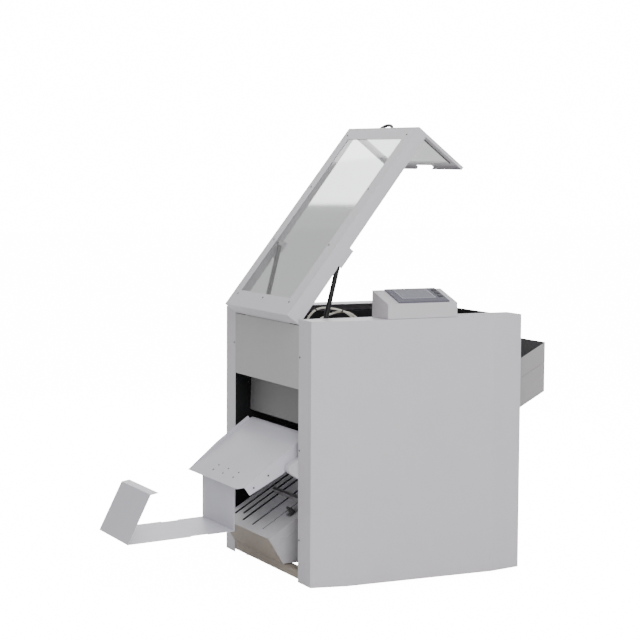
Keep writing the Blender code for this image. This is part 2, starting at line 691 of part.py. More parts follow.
def make_chute(root):
    """The delivery chute with its rounded rear, raised far rim and turned down near flange."""
    pin = chute_pin()
    axis = empty("chute_axis", (pin[0], 0, pin[1]), 0, root)
    frame = empty("chute_slope", (-CHUTE_FRONT - pin[0], 0, CHUTE_FRONT_Z - pin[1]), -CHUTE_ANGLE, axis)
    path = [(0, 0), (CHUTE_LENGTH, 0)]
    sweep = 90 + CHUTE_ANGLE
    for step in range(1, CHUTE_BEND_STEPS + 1):
        angle = math.radians(sweep * step / CHUTE_BEND_STEPS)
        path.append((CHUTE_LENGTH + CHUTE_BEND * math.sin(angle), CHUTE_BEND * (math.cos(angle) - 1)))
    last = math.radians(sweep)
    path.append((path[-1][0] + CHUTE_TAIL * math.cos(last), path[-1][1] - CHUTE_TAIL * math.sin(last)))
    chute = piece("delivery_chute", bent(path, -PLATE, CHUTE_NEAR, CHUTE_FAR), "grey_paint", frame)
    corner = [(-OVERRUN, CHUTE_NEAR - OVERRUN), (CHUTE_CORNER_ALONG, CHUTE_NEAR - OVERRUN),
              (CHUTE_CORNER_ALONG, CHUTE_NEAR), (0, CHUTE_NEAR + CHUTE_CORNER_ACROSS),
              (-OVERRUN, CHUTE_NEAR + CHUTE_CORNER_ACROSS)]
    cut(chute, prism(corner, -OVERRUN, OVERRUN, "z"))
    flange = [(CHUTE_FLANGE_START, -PLATE / 2), (CHUTE_FLANGE_START, -CHUTE_FLANGE_FRONT),
              (CHUTE_FLANGE_DEEP_AT, -CHUTE_FLANGE_DEEP), (CHUTE_LENGTH, -CHUTE_FLANGE_REAR),
              (CHUTE_LENGTH, -PLATE / 2)]
    fuse(chute, prism(flange, CHUTE_NEAR, CHUTE_NEAR + PLATE))
    rim = [(CHUTE_RIM_START, -PLATE / 2), (CHUTE_LENGTH, -CHUTE_FLANGE_REAR), (CHUTE_LENGTH, CHUTE_RIM),
           (CHUTE_LENGTH / 2, CHUTE_RIM), (CHUTE_RIM_START, PLATE / 4)]
    fuse(chute, prism(rim, CHUTE_FAR - PLATE, CHUTE_FAR))
    return pin, axis


def make_arm(root):
    """The support arm below the chute's near flange, held by the near side plate."""
    slope = math.tan(math.radians(CHUTE_ANGLE)) * 0.75
    outline = [(-ARM_REACH, ARM_TOP_Z - ARM_NOSE), (-ARM_REACH + ARM_NOSE / 3, ARM_TOP_Z),
               (ARM_REAR, ARM_TOP_Z + (ARM_REAR + ARM_REACH) * slope),
               (ARM_REAR, ARM_TOP_Z + (ARM_REAR + ARM_REACH) * slope - ARM_DEPTH),
               (ARM_NOSE / 2, ARM_TOP_Z - ARM_DEPTH), (-ARM_REACH + ARM_NOSE / 3, ARM_TOP_Z - ARM_NOSE * 2)]
    soften(piece("chute_support_arm", prism(outline, INNER_NEAR, CHUTE_NEAR - PLATE * 1.5), "grey_paint", root), PLATE)


def make_tray(axis, pin):
    """The receiving tray: folded from one sheet that is screwed under the chute's front."""
    slope = math.tan(math.radians(CHUTE_ANGLE))
    under = CHUTE_FRONT_Z - (PLATE + GAP) / math.cos(math.radians(CHUTE_ANGLE))

    def below(x):
        return under + (x + CHUTE_FRONT) * slope

    lap = -CHUTE_FRONT + TRAY_LAP * math.cos(math.radians(CHUTE_ANGLE))
    floor_end = TRAY_FLOOR_Z - TRAY_FALL
    top = (-TRAY_END_X + TRAY_LEAN, floor_end + TRAY_END_RISE)
    path = [(lap, below(lap)), (-TRAY_WALL_X, below(-TRAY_WALL_X)), (-TRAY_WALL_X, TRAY_FLOOR_Z),
            (-TRAY_END_X, floor_end), top, (top[0] + TRAY_LIP, top[1] + TRAY_LIP_RISE)]
    path = [(x - pin[0], z - pin[1]) for x, z in path]
    tray = piece("receiving_tray", bent(path, PLATE, TRAY_NEAR, TRAY_FAR), "grey_paint", axis)
    for low in (TRAY_NEAR - OVERRUN, TRAY_FAR - TRAY_NOTCH_DEPTH):
        start = -TRAY_NOTCH_START - pin[0]
        cut(tray, block((start - TRAY_NOTCH_LENGTH, low, floor_end - pin[1] - OVERRUN),
                        (start, low + OVERRUN + TRAY_NOTCH_DEPTH * (low < TRAY_NEAR), TRAY_FLOOR_Z - pin[1] + OVERRUN)))


def slot_places():
    """Each slot's middle, width and start."""
    width = BED_PLATE_FAR - BED_NEAR
    return [(BED_NEAR + width * share, across, start)
            for share, across, start in zip(SLOT_SHARES, SLOT_WIDTHS, SLOT_STARTS)]


def make_bed(root):
    """The sloping bed in two plates with the knife's gap between them, its near beam and crossbars."""
    bed = empty("bed_slope", (-BED_FRONT, 0, BED_FRONT_Z), -BED_ANGLE, root)
    plate = piece("bed_plate", bent([(0, -BED_SKIRT), (0, 0), (BED_SPLIT, 0)], -PLATE, BED_NEAR, BED_PLATE_FAR),
                  "grey_paint", bed)
    for y, width, start in slot_places():
        cut(plate, block((start, y - width / 2, -OVERRUN), (SLOT_END, y + width / 2, OVERRUN)))
    upper = piece("infeed_bed_plate", block((BED_SPLIT + BED_KNIFE_GAP, BED_NEAR, -PLATE), (BED_LENGTH, BED_FAR, 0)),
                  "grey_paint", bed)
    for y in head_places():
        cut(upper, block((HEAD_ALONG - DRIVER_WIDTH, y - DRIVER_WIDTH, -OVERRUN),
                         (HEAD_ALONG + DRIVER_WIDTH, y + DRIVER_WIDTH, OVERRUN)))
    strip = block((BEAM_START, BEAM_NEAR, -PLATE), (BEAM_LENGTH, BED_NEAR - GAP, 0))
    beam = piece("near_bed_beam", strip, "grey_paint", bed)
    turn = math.radians(BED_ANGLE)
    rear = -BED_FRONT + CROSSBAR_ALONG * math.cos(turn) - CROSSBAR_DEPTH / 4
    foot = in_bed(0, -BED_SKIRT)
    wall = [in_bed(0, 0), foot, (rear, foot[1]), (rear, BED_FRONT_Z + (rear + BED_FRONT) * math.tan(turn))]
    fuse(beam, prism(wall, BED_NEAR - GAP - PLATE, BED_NEAR - GAP), root)
    top, past = -PLATE - GAP, CROSSBAR_ALONG + CROSSBAR_WIDTH
    piece("bed_crossbar", block((CROSSBAR_ALONG, INNER_NEAR, top - CROSSBAR_DEPTH), (past, INNER_FAR, top)),
          "black_paint", bed)
    return bed


def make_stop(bed):
    """The paper stop on the bed, its clamp knob and the two side guides."""
    low = BED_NEAR + STOP_MARGIN
    bar = piece("paper_stop", block((STOP_ALONG, low, GAP), (STOP_ALONG + STOP_THICKNESS, BED_FAR - STOP_MARGIN,
                                                              STOP_HEIGHT)), "steel", bed)
    arm_y = BED_NEAR + STOP_ARM_OFFSET
    fuse(bar, block((STOP_ARM_START, arm_y - STOP_ARM_WIDTH / 2, GAP),
                    (STOP_ALONG + STOP_THICKNESS / 2, arm_y + STOP_ARM_WIDTH / 2, PLATE)))
    lug_y, slot_width = slot_places()[0][:2]
    lug = (slot_width - STOP_LUG_PLAY) / 2
    fuse(bar, block((STOP_ALONG + GAP, lug_y - lug, GAP - PLATE), (STOP_ALONG + STOP_THICKNESS - GAP, lug_y + lug, PLATE)))
    base = PLATE + GAP
    top = base + KNOB_HEIGHT
    profile = [(0, base), (KNOB_RADIUS, base), (KNOB_RADIUS * 0.8, top - PLATE), (KNOB_RADIUS * 0.5, top), (0, top)]
    knob = piece("stop_clamp_knob", turned(profile, "z", (KNOB_ALONG, arm_y, 0), 16), "black_plastic", bed,
                 (KNOB_ALONG, arm_y, 0), True)
    fuse(knob, block((KNOB_ALONG - KNOB_WING_THICKNESS / 2, arm_y - KNOB_WING, base + KNOB_HEIGHT / 3),
                     (KNOB_ALONG + KNOB_WING_THICKNESS / 2, arm_y + KNOB_WING, top + PLATE)))
    for name, edge, side in (("side_guide_near", BED_NEAR + GUIDE_INSET, 1),
                             ("side_guide_far", BED_FAR - GUIDE_INSET, -1)):
        path = [(edge - side * GUIDE_FOOT / 2, GAP), (edge + side * GUIDE_FOOT / 2, GAP),
                (edge + side * GUIDE_FOOT / 2, GUIDE_HEIGHT)]
        piece(name, bent(path, PLATE * side, GUIDE_START, GUIDE_END, "x"), "steel", bed)


def head_places():
    return (HEAD_NEAR, HEAD_NEAR + HEAD_SPACING)


def make_stitching(bed):
    """Stitch beam with two heads, drivers and wire spools above the bed, clinch bar below it."""
    beam_low = HEAD_BOTTOM + HEAD_HEIGHT + GAP
    beam_high = beam_low + STITCH_BEAM_DEPTH
    beam = piece("stitch_beam", block((HEAD_ALONG - STITCH_BEAM_WIDTH / 2, INNER_NEAR, beam_low),
                                      (HEAD_ALONG + STITCH_BEAM_WIDTH / 2, INNER_FAR, beam_high)), "steel", bed)
    clinch = -PLATE - GAP
    piece("clinch_bar", block((HEAD_ALONG - CLINCH_WIDTH / 2, INNER_NEAR, clinch - CLINCH_DEPTH),
                              (HEAD_ALONG + CLINCH_WIDTH / 2, INNER_FAR, clinch)), "steel", bed)
    centre = beam_high + SPOOL_RISE
    for side, y in zip(("near", "far"), head_places()):
        soften(piece(f"stitch_head_{side}", block((HEAD_ALONG - HEAD_LENGTH / 2, y - HEAD_WIDTH / 2, HEAD_BOTTOM),
                                                  (HEAD_ALONG + HEAD_LENGTH / 2, y + HEAD_WIDTH / 2,
                                                   HEAD_BOTTOM + HEAD_HEIGHT)), "steel", bed), PLATE)
        top = HEAD_BOTTOM - GAP
        piece(f"stitch_driver_{side}", block((HEAD_ALONG - DRIVER_THICKNESS / 2, y - DRIVER_WIDTH / 2,
                                              top - DRIVER_LENGTH),
                                             (HEAD_ALONG + DRIVER_THICKNESS / 2, y + DRIVER_WIDTH / 2, top)),
              "steel", bed)
        fuse(beam, block((HEAD_ALONG - SPOOL_ARM_WIDTH / 2, y, beam_high - PLATE),
                         (HEAD_ALONG + SPOOL_ARM_WIDTH / 2, y + SPOOL_ARM_THICKNESS, centre + SPOOL_ARM_WIDTH / 2)))
        fuse(beam, rod(SPOOL_PIN, y - SPOOL_WIDTH - PLATE, y + SPOOL_ARM_THICKNESS / 2, "y", (HEAD_ALONG, 0, centre),
                       SMALL_SIDES))
        high = y - GAP
        low = high - SPOOL_WIDTH
        profile = [(SPOOL_BORE, low), (SPOOL_RADIUS, low), (SPOOL_RADIUS, low + SPOOL_CHEEK),
                   (SPOOL_CORE * 2, low + SPOOL_CHEEK), (SPOOL_CORE * 2, high - SPOOL_CHEEK),
                   (SPOOL_RADIUS, high - SPOOL_CHEEK), (SPOOL_RADIUS, high), (SPOOL_BORE, high)]
        piece(f"wire_spool_{side}", turned(profile, "y", (HEAD_ALONG, 0, centre)), "wire", bed,
              (HEAD_ALONG, y, centre), True)


def gear(centre, low, high, phase):
    """A spur gear round a journal, its teeth as plain tapered steps."""
    outline = []
    pitch = 2 * math.pi / GEAR_TEETH
    tip, root = ROLLER_RADIUS + GEAR_TOOTH / 2 - GAP, ROLLER_RADIUS - GEAR_TOOTH / 2 - GAP
    for tooth in range(GEAR_TEETH):
        middle = (tooth + phase) * pitch
        for radius, share in ((root, -TOOTH_ROOT_SHARE), (tip, -TOOTH_TIP_SHARE), (tip, TOOTH_TIP_SHARE),
                              (root, TOOTH_ROOT_SHARE)):
            angle = middle + share * pitch / 2
            outline.append((centre[0] + radius * math.cos(angle), centre[1] + radius * math.sin(angle)))
    return prism(outline, low, high)


def roller_centres():
    middle = BED_SPLIT + BED_KNIFE_GAP / 2
    half = ROLLER_RADIUS + GAP
    return (("front", middle - half), ("rear", middle + half))


def make_folding(bed):
    """The fold knife, two fold rollers with their gears, and the bearing plates that carry them."""
    middle = BED_SPLIT + BED_KNIFE_GAP / 2
    foot = -KNIFE_TOP - KNIFE_DEPTH
    knife = piece("fold_knife", block((middle - KNIFE_THICKNESS / 2, BED_NEAR + KNIFE_MARGIN, foot),
                                      (middle + KNIFE_THICKNESS / 2, BED_FAR - KNIFE_MARGIN, -KNIFE_TOP)), "steel", bed)
    fuse(knife, block((middle - CARRIER_WIDTH / 2, INNER_NEAR, foot - CARRIER_DEPTH / 2),
                      (middle + CARRIER_WIDTH / 2, INNER_FAR, foot + CARRIER_DEPTH / 2)))
    seats = (("near", INNER_NEAR, INNER_NEAR + BEARING_THICKNESS), ("far", INNER_FAR - BEARING_THICKNESS, INNER_FAR))
    for side, low, high in seats:
        bearing = piece(f"roller_bearing_{side}",
                        block((middle - BEARING_LENGTH / 2, low, ROLLER_RISE - BEARING_HEIGHT / 2),
                              (middle + BEARING_LENGTH / 2, high, ROLLER_RISE + BEARING_HEIGHT / 2)), "steel", bed)
        for place, along in roller_centres():
            cut(bearing, rod(JOURNAL_RADIUS + GAP, low - OVERRUN, high + OVERRUN, "y", (along, 0, ROLLER_RISE)))
    near_end, far_end = INNER_NEAR + GAP, INNER_FAR - GAP
    gear_low = INNER_NEAR + BEARING_THICKNESS + GAP
    for (place, along), phase in zip(roller_centres(), (0, 0.5)):
        profile = [(0, near_end), (JOURNAL_RADIUS, near_end), (JOURNAL_RADIUS, ROLLER_NEAR),
                   (ROLLER_RADIUS, ROLLER_NEAR), (ROLLER_RADIUS, ROLLER_FAR), (JOURNAL_RADIUS, ROLLER_FAR),
                   (JOURNAL_RADIUS, far_end), (0, far_end)]
        centre = (along, 0, ROLLER_RISE)
        roller = piece(f"fold_roller_{place}", turned(profile, "y", centre, ROUND_SIDES), "rubber", bed, centre, True)
        fuse(roller, gear((along, ROLLER_RISE), gear_low, gear_low + GEAR_WIDTH, phase))
        if place == "rear":
            fuse(roller, rod(PULLEY_RADIUS, PULLEY_NEAR, PULLEY_NEAR + PULLEY_WIDTH, "y", centre))


def in_bed(along, rise):
    """A place on the bed's slope in the machine's own X and Z."""
    turn = math.radians(BED_ANGLE)
    return (-BED_FRONT + along * math.cos(turn) - rise * math.sin(turn),
            BED_FRONT_Z + along * math.sin(turn) + rise * math.cos(turn))


def pulley(bore, low, high, centre):
    profile = [(bore, low), (PULLEY_RADIUS, low), (PULLEY_RADIUS, high), (bore, high)]
    return turned(profile, "y", centre)


def make_drive(root):
    """Motor on the far side plate, its pulley, the rear roller's pulley and the belt round both."""
    high = PULLEY_NEAR + PULLEY_WIDTH
    motor_centre = (MOTOR_X, 0, MOTOR_Z)
    profile = [(0, PULLEY_NEAR - PLATE), (SHAFT_RADIUS, PULLEY_NEAR - PLATE), (SHAFT_RADIUS, MOTOR_FRONT),
               (MOTOR_RADIUS * 0.4, MOTOR_FRONT), (MOTOR_RADIUS * 0.4, MOTOR_FRONT + PLATE),
               (MOTOR_RADIUS, MOTOR_FRONT + PLATE), (MOTOR_RADIUS, INNER_FAR), (0, INNER_FAR)]
    piece("drive_motor", turned(profile, "y", motor_centre), "steel", root, smooth=True)
    driven = in_bed(roller_centres()[1][1], ROLLER_RISE)
    piece("motor_pulley", pulley(SHAFT_RADIUS + GAP, PULLEY_NEAR, high, motor_centre), "black_plastic", root,
          motor_centre, True)
    lean = math.atan2(driven[1] - MOTOR_Z, driven[0] - MOTOR_X)
    steps = SMALL_SIDES
    rings = []
    for radius in (PULLEY_RADIUS + GAP + BELT_THICKNESS, PULLEY_RADIUS + GAP):
        outline = []
        for centre, start in (((MOTOR_X, MOTOR_Z), lean + math.pi / 2), (driven, lean - math.pi / 2)):
            for step in range(steps + 1):
                angle = start + math.pi * step / steps
                outline.append((centre[0] + radius * math.cos(angle), centre[1] + radius * math.sin(angle)))
        rings.append(outline)
    low = PULLEY_NEAR + GAP
    belt = piece("drive_belt", prism(rings[0], low, high - GAP), "rubber", root)
    cut(belt, prism(rings[1], low - OVERRUN, high + OVERRUN))


def make_infeed(root):
    """The infeed end panel, the hopper outside it, the power inlet and its switch."""
    start, end = BODY_LENGTH - SHEET, BODY_LENGTH
    slope = math.tan(math.radians(HOPPER_ANGLE))
    outer = end + HOPPER_LENGTH

    def at(z, x):
        return z - (outer - x) * slope

    joint = end + GAP
    panel_top = at(HOPPER_RIM_Z, end)
    panel = piece("infeed_end_panel", block((start, INNER_NEAR, RAIL_TOP + GAP), (end, INNER_FAR, panel_top)),
                  "grey_paint", root)
    slot_low = at(HOPPER_SEAM_Z, end) + PLATE
    cut(panel, block((start - OVERRUN, NEAR_Y + INFEED_MARGIN, slot_low),
                     (end + OVERRUN, FAR_Y - INFEED_MARGIN, slot_low + INFEED_SLOT_HEIGHT + OVERRUN)))
    lower = [(joint, at(HOPPER_BOTTOM_Z, joint)), (outer, HOPPER_BOTTOM_Z), (outer, HOPPER_SEAM_Z - GAP),
             (joint, at(HOPPER_SEAM_Z, joint) - GAP)]
    housing = piece("hopper_housing", prism(lower, HOPPER_NEAR, HOPPER_FAR), "grey_paint", root)
    hollow = [(joint - OVERRUN, at(HOPPER_BOTTOM_Z, joint - OVERRUN) + PLATE),
              (outer - PLATE, at(HOPPER_BOTTOM_Z, outer - PLATE) + PLATE),
              (outer - PLATE, at(HOPPER_SEAM_Z, outer - PLATE) - PLATE),
              (joint - OVERRUN, at(HOPPER_SEAM_Z, joint - OVERRUN) - PLATE)]
    cut(housing, prism(hollow, HOPPER_NEAR + PLATE, HOPPER_FAR - PLATE))
    upper = [(joint, at(HOPPER_SEAM_Z, joint)), (outer, HOPPER_SEAM_Z), (outer, HOPPER_RIM_Z),
             (joint, at(HOPPER_RIM_Z, joint))]
    tray = piece("hopper_tray", prism(upper, HOPPER_NEAR, HOPPER_FAR), "grey_paint", root)
    hollow = [(joint - OVERRUN, at(HOPPER_SEAM_Z, joint - OVERRUN) + PLATE),
              (outer - PLATE, at(HOPPER_SEAM_Z, outer - PLATE) + PLATE), (outer - PLATE, HOPPER_RIM_Z + OVERRUN),
              (joint - OVERRUN, HOPPER_RIM_Z + OVERRUN)]
    cut(tray, prism(hollow, HOPPER_NEAR + PLATE, HOPPER_FAR - PLATE))
    face = end + INLET_DEPTH
    inlet = piece("power_inlet", block((joint, INLET_Y, INLET_Z), (face, INLET_Y + INLET_WIDTH,
                                                                   INLET_Z + INLET_HEIGHT)), "black_plastic", root)
    middle = INLET_Y + INLET_WIDTH / 2
    cut(inlet, block((face - POCKET_DEPTH, INLET_Y + POCKET_DEPTH, INLET_Z + POCKET_DEPTH),
                     (face + OVERRUN, INLET_Y + INLET_WIDTH - POCKET_DEPTH, INLET_Z + INLET_HEIGHT / 2)))
    switch_z = INLET_Z + INLET_HEIGHT / 2 + PLATE
    cut(inlet, block((face - POCKET_DEPTH, middle - SWITCH_WIDTH / 2 - GAP, switch_z),
                     (face + OVERRUN, middle + SWITCH_WIDTH / 2 + GAP, switch_z + SWITCH_HEIGHT)))
    centre_z = switch_z + SWITCH_HEIGHT / 2
    half = SWITCH_HEIGHT / 2 - PLATE / 2
    rocker = [(face + SWITCH_PROUD, centre_z - half), (face + SWITCH_PROUD * 1.5, centre_z + half),
              (face - GAP, centre_z + half), (face - POCKET_DEPTH + GAP, centre_z),
              (face - GAP, centre_z - half)]
    piece("power_switch", prism(rocker, middle - SWITCH_WIDTH / 2, middle + SWITCH_WIDTH / 2), "black_plastic", root,
          (face, middle, centre_z))


def make_console(root):
    """The sloping console on the near cover, its touch panel and three function keys."""
    low = COVER_HEIGHT + GAP
    front = COVER_HEIGHT + CONSOLE_FRONT_HEIGHT
    rear = COVER_HEIGHT + CONSOLE_REAR_HEIGHT
    end = CONSOLE_START + CONSOLE_LENGTH
    side = [(CONSOLE_NEAR, low), (CONSOLE_FAR, low), (CONSOLE_FAR, rear), (CONSOLE_NEAR, front)]
    shell = piece("console_housing", prism(side, CONSOLE_START, end, "x"), "console_plastic", root)
    hollow = [(CONSOLE_NEAR + PLATE, low - OVERRUN), (CONSOLE_FAR - PLATE, low - OVERRUN),
              (CONSOLE_FAR - PLATE, rear - WALL), (CONSOLE_NEAR + PLATE, front - WALL)]
    soften(shell, PLATE)
    cut(shell, prism(hollow, CONSOLE_START + PLATE, end - PLATE, "x"))
    slope = math.atan2(CONSOLE_REAR_HEIGHT - CONSOLE_FRONT_HEIGHT, CONSOLE_FAR - CONSOLE_NEAR)
    face = empty("console_face", (CONSOLE_START, CONSOLE_NEAR, front), 0, root)
    face.rotation_euler = (slope, 0, 0)
    right = PANEL_START + PANEL_WIDTH
    panel = piece("touch_panel", block((PANEL_START, PANEL_LOW, GAP), (right, PANEL_LOW + PANEL_SPAN, PANEL_PROUD)),
                  "panel_plastic", face)
    for number in range(KEY_COUNT):
        across = PANEL_LOW + KEY_FIRST - KEY_SIZE / 2 + KEY_STEP * number
        left = right - KEY_INSET - KEY_SIZE / 2
        cut(panel, block((left - GAP, across - GAP, PANEL_PROUD - KEY_POCKET),
                         (left + KEY_SIZE + GAP, across + KEY_SIZE + GAP, PANEL_PROUD + OVERRUN)))
        key = piece(f"function_key_{number + 1}",
                    block((left, across, PANEL_PROUD - KEY_POCKET + KEY_TRAVEL + GAP),
                          (left + KEY_SIZE, across + KEY_SIZE, PANEL_PROUD + KEY_PROUD)), "console_plastic", face)
        soften(key, GAP)


def make_hoses(root):
    """Two air hoses that arch from the exit rail to the stitch beam."""
    beam_top = HEAD_BOTTOM + HEAD_HEIGHT + GAP + STITCH_BEAM_DEPTH
    places = (HEAD_NEAR - SPOOL_WIDTH - HOSE_END_CLEAR, HEAD_NEAR + HEAD_SPACING * HOSE_END_SHARE)
    for number, (route, y) in enumerate(zip((HOSE_ROUTE, HOSE_TWO_ROUTE), places)):
        ends = [(x, y, z) for x, z in (in_bed(HEAD_ALONG + HOSE_END_INSET, beam_top + rise)
                                       for rise in (HOSE_END_RISE, GAP * 2))]
        tube(f"air_hose_{number + 1}", [(x, y + aside, z) for x, aside, z in route] + ends, HOSE_RADIUS, "hose", root)


def main():
    clear_scene()
    root = empty("machine", (-CENTRE_X, -BODY_WIDTH / 2, COVER_LIFT))
    make_covers(root)
    make_base(root)
    make_side("near_side_plate", NEAR_Y, 1, root)
    make_side("far_side_plate", FAR_Y, -1, root)
    make_exit_end(root)
    make_lid(root)
    make_hinge(root)
    make_struts(root)
    pin, axis = make_chute(root)
    make_tray(axis, pin)
    make_arm(root)
    bed = make_bed(root)
    make_stop(bed)
    make_stitching(bed)
    make_folding(bed)
    make_drive(root)
    make_infeed(root)
    make_console(root)
    make_hoses(root)


main()
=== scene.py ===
import json
import math

import bmesh
import bpy
from mathutils import Matrix, Vector

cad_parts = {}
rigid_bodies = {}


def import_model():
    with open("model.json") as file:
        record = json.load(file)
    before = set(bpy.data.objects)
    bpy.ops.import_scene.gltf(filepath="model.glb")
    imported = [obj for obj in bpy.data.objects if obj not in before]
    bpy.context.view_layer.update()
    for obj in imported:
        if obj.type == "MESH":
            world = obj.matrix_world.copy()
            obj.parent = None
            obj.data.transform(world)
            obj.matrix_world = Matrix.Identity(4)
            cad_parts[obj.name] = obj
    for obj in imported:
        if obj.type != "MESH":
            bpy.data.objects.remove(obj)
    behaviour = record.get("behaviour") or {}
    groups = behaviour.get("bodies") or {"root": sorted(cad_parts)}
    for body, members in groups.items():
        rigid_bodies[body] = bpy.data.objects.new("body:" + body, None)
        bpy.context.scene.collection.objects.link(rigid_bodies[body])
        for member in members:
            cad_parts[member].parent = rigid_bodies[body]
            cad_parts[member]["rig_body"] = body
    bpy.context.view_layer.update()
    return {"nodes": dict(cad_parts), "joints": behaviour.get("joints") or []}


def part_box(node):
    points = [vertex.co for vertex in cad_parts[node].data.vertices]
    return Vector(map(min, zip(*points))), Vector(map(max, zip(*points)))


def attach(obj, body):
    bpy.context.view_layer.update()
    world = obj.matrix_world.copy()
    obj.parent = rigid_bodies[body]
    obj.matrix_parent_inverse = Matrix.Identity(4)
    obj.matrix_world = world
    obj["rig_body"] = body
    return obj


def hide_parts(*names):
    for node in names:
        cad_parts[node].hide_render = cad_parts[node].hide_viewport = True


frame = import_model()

nodes = frame["nodes"]
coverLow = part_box("near_cover")[0]
hingeAt = Vector(next(joint["pos_m"] for joint in frame["joints"] if joint["name"] == "lid_swing"))
lidTurn = math.radians(52.0)
bedTurn = math.radians(31.3)
chuteTurn = math.radians(35.5)
lidInset = 0.005  # from the lid's lower edge to its hinge's axis, along the lid
bedStart = (-0.062, 0, 0.140)
chuteStart = (-0.208, 0, 0.343)


def at(x, y, z):  # from the exit end's face, the near cover's face and the cover's foot
    return Vector((coverLow.x + x, coverLow.y + y, coverLow.z + z))


def sloped(start, turn, along, y, rise):  # on a slope that climbs towards +X from start
    return Vector((start.x + along * math.cos(turn) - rise * math.sin(turn), coverLow.y + y,
                   start.z + along * math.sin(turn) + rise * math.cos(turn)))


def onLid(along, y, rise):
    return sloped(hingeAt, lidTurn, along - lidInset, y, rise)


def onBed(along, y, rise):
    return sloped(at(*bedStart), bedTurn, along, y, rise)


def onChute(along, y, rise):
    return sloped(at(*chuteStart), chuteTurn, along, y, rise)


# Camera and stage

cameraSet = {
    "place": (-2.8005, -5.8398, 1.5252),
    "azimuth": -25.7815,
    "elevation": 4.9995,
    "roll": 0.3136,
    "lens": 104.73,
    "film": 36.0,
}


def makeCamera():
    azimuth, elevation = math.radians(cameraSet["azimuth"]), math.radians(cameraSet["elevation"])
    back = Vector((math.sin(azimuth) * math.cos(elevation), -math.cos(azimuth) * math.cos(elevation),
                   math.sin(elevation)))
    right = (-back).cross(Vector((0, 0, 1))).normalized()
    up = right.cross(-back)
    roll = math.radians(cameraSet["roll"])
    across = right * math.cos(roll) + up * math.sin(roll)
    over = up * math.cos(roll) - right * math.sin(roll)
    turn = Matrix((across, over, back)).transposed().to_4x4()
    bpy.ops.object.camera_add()
    camera = bpy.context.object
    camera.name = "photoCamera"
    camera.matrix_world = Matrix.Translation(at(*cameraSet["place"])) @ turn
    camera.data.lens = cameraSet["lens"]
    camera.data.sensor_width = cameraSet["film"]
    bpy.context.scene.camera = camera


lightSet = {
    "key": {"place": (-1.2, -4.4, 3.6), "aim": (0.2, 0.1, 0.6), "size": 2.4, "power": 190},
    "fill": {"place": (3.4, -2.6, 2.4), "aim": (0.2, 0.0, 0.6), "size": 3.0, "power": 30},
    "top": {"place": (0.4, 0.6, 4.2), "aim": (0.1, 0.0, 0.6), "size": 3.0, "power": 60},
    "rear": {"place": (1.2, 4.4, 2.6), "aim": (0.1, 0.0, 0.6), "size": 3.0, "power": 80},
}
stageSet = {"floorSize": 60.0, "floorColour": (0.88, 0.88, 0.88), "floorRoughness": 0.7,
            "worldLight": 0.66, "seenWhite": 16.0, "floorGlow": 15.0}


def makeFloorMaterial():
    material = plainMaterial("floorWhite", stageSet["floorColour"], stageSet["floorRoughness"])
    tree = material.node_tree
    shader = tree.nodes["Principled BSDF"]
    shader.inputs["Specular IOR Level"].default_value = 0.0
    shader.inputs["Emission Color"].default_value = (1.0, 1.0, 1.0, 1.0)
    path = tree.nodes.new("ShaderNodeLightPath")
    glow = tree.nodes.new("ShaderNodeMath")  # the backdrop looks white and lights nothing
    glow.operation = "MULTIPLY"
    glow.inputs[1].default_value = stageSet["floorGlow"]
    tree.links.new(path.outputs["Is Camera Ray"], glow.inputs[0])
    tree.links.new(glow.outputs[0], shader.inputs["Emission Strength"])
    return material


def makeStage():
    bpy.ops.mesh.primitive_plane_add(size=stageSet["floorSize"], location=(0, 0, 0))
    floor = bpy.context.object
    floor.name = "paleFloor"
    floor.data.materials.append(makeFloorMaterial())
    for name, light in lightSet.items():
        bpy.ops.object.light_add(type="AREA", location=light["place"])
        lamp = bpy.context.object
        lamp.name = name + "Light"
        lamp.data.size = light["size"]
        lamp.data.energy = light["power"]
        aim = Vector(light["aim"]) - Vector(light["place"])
        lamp.rotation_euler = aim.to_track_quat("-Z", "Y").to_euler()
    world = bpy.data.worlds.new("paleStudio")
    world.use_nodes = True
    tree = world.node_tree
    background = tree.nodes["Background"]
    background.inputs["Color"].default_value = (1.0, 1.0, 1.0, 1.0)
    path = tree.nodes.new("ShaderNodeLightPath")
    strength = tree.nodes.new("ShaderNodeMapRange")
    strength.inputs["To Min"].default_value = stageSet["worldLight"]
    strength.inputs["To Max"].default_value = stageSet["seenWhite"]
    tree.links.new(path.outputs["Is Camera Ray"], strength.inputs["Value"])
    tree.links.new(strength.outputs["Result"], background.inputs["Strength"])
    bpy.context.scene.world = world


# Materials

def plainMaterial(name, colour, roughness):
    material = bpy.data.materials.new(name)
    material.use_nodes = True
    shader = material.node_tree.nodes["Principled BSDF"]
    shader.inputs["Base Color"].default_value = (*colour, 1.0)
    shader.inputs["Roughness"].default_value = roughness
    return material


def addSockets(group, inputs, outputs):
    for name, kind, value in inputs:
        socket = group.interface.new_socket(name, in_out="INPUT", socket_type=kind)
        socket.default_value = value
    for name, kind in outputs:
        group.interface.new_socket(name, in_out="OUTPUT", socket_type=kind)


surfaceSet = {
    "inputs": (
        ("Colour", "NodeSocketColor", (0.5, 0.5, 0.5, 1.0)),
        ("Shade", "NodeSocketColor", (0.4, 0.4, 0.4, 1.0)),
        ("Clouding", "NodeSocketFloat", 0.3),
        ("Grain Scale", "NodeSocketFloat", 900.0),
        ("Grain Depth", "NodeSocketFloat", 0.00005),
        ("Roughness", "NodeSocketFloat", 0.45),
        ("Unevenness", "NodeSocketFloat", 0.1),
        ("Stretch", "NodeSocketVector", (1.0, 1.0, 1.0)),
    ),
    "outputs": (
        ("Colour", "NodeSocketColor"),
        ("Roughness", "NodeSocketFloat"),
        ("Normal", "NodeSocketVector"),
    ),
    "cloudScale": 5.0,
    "cloudDetail": 4.0,
    "grainDetail": 2.0,
}


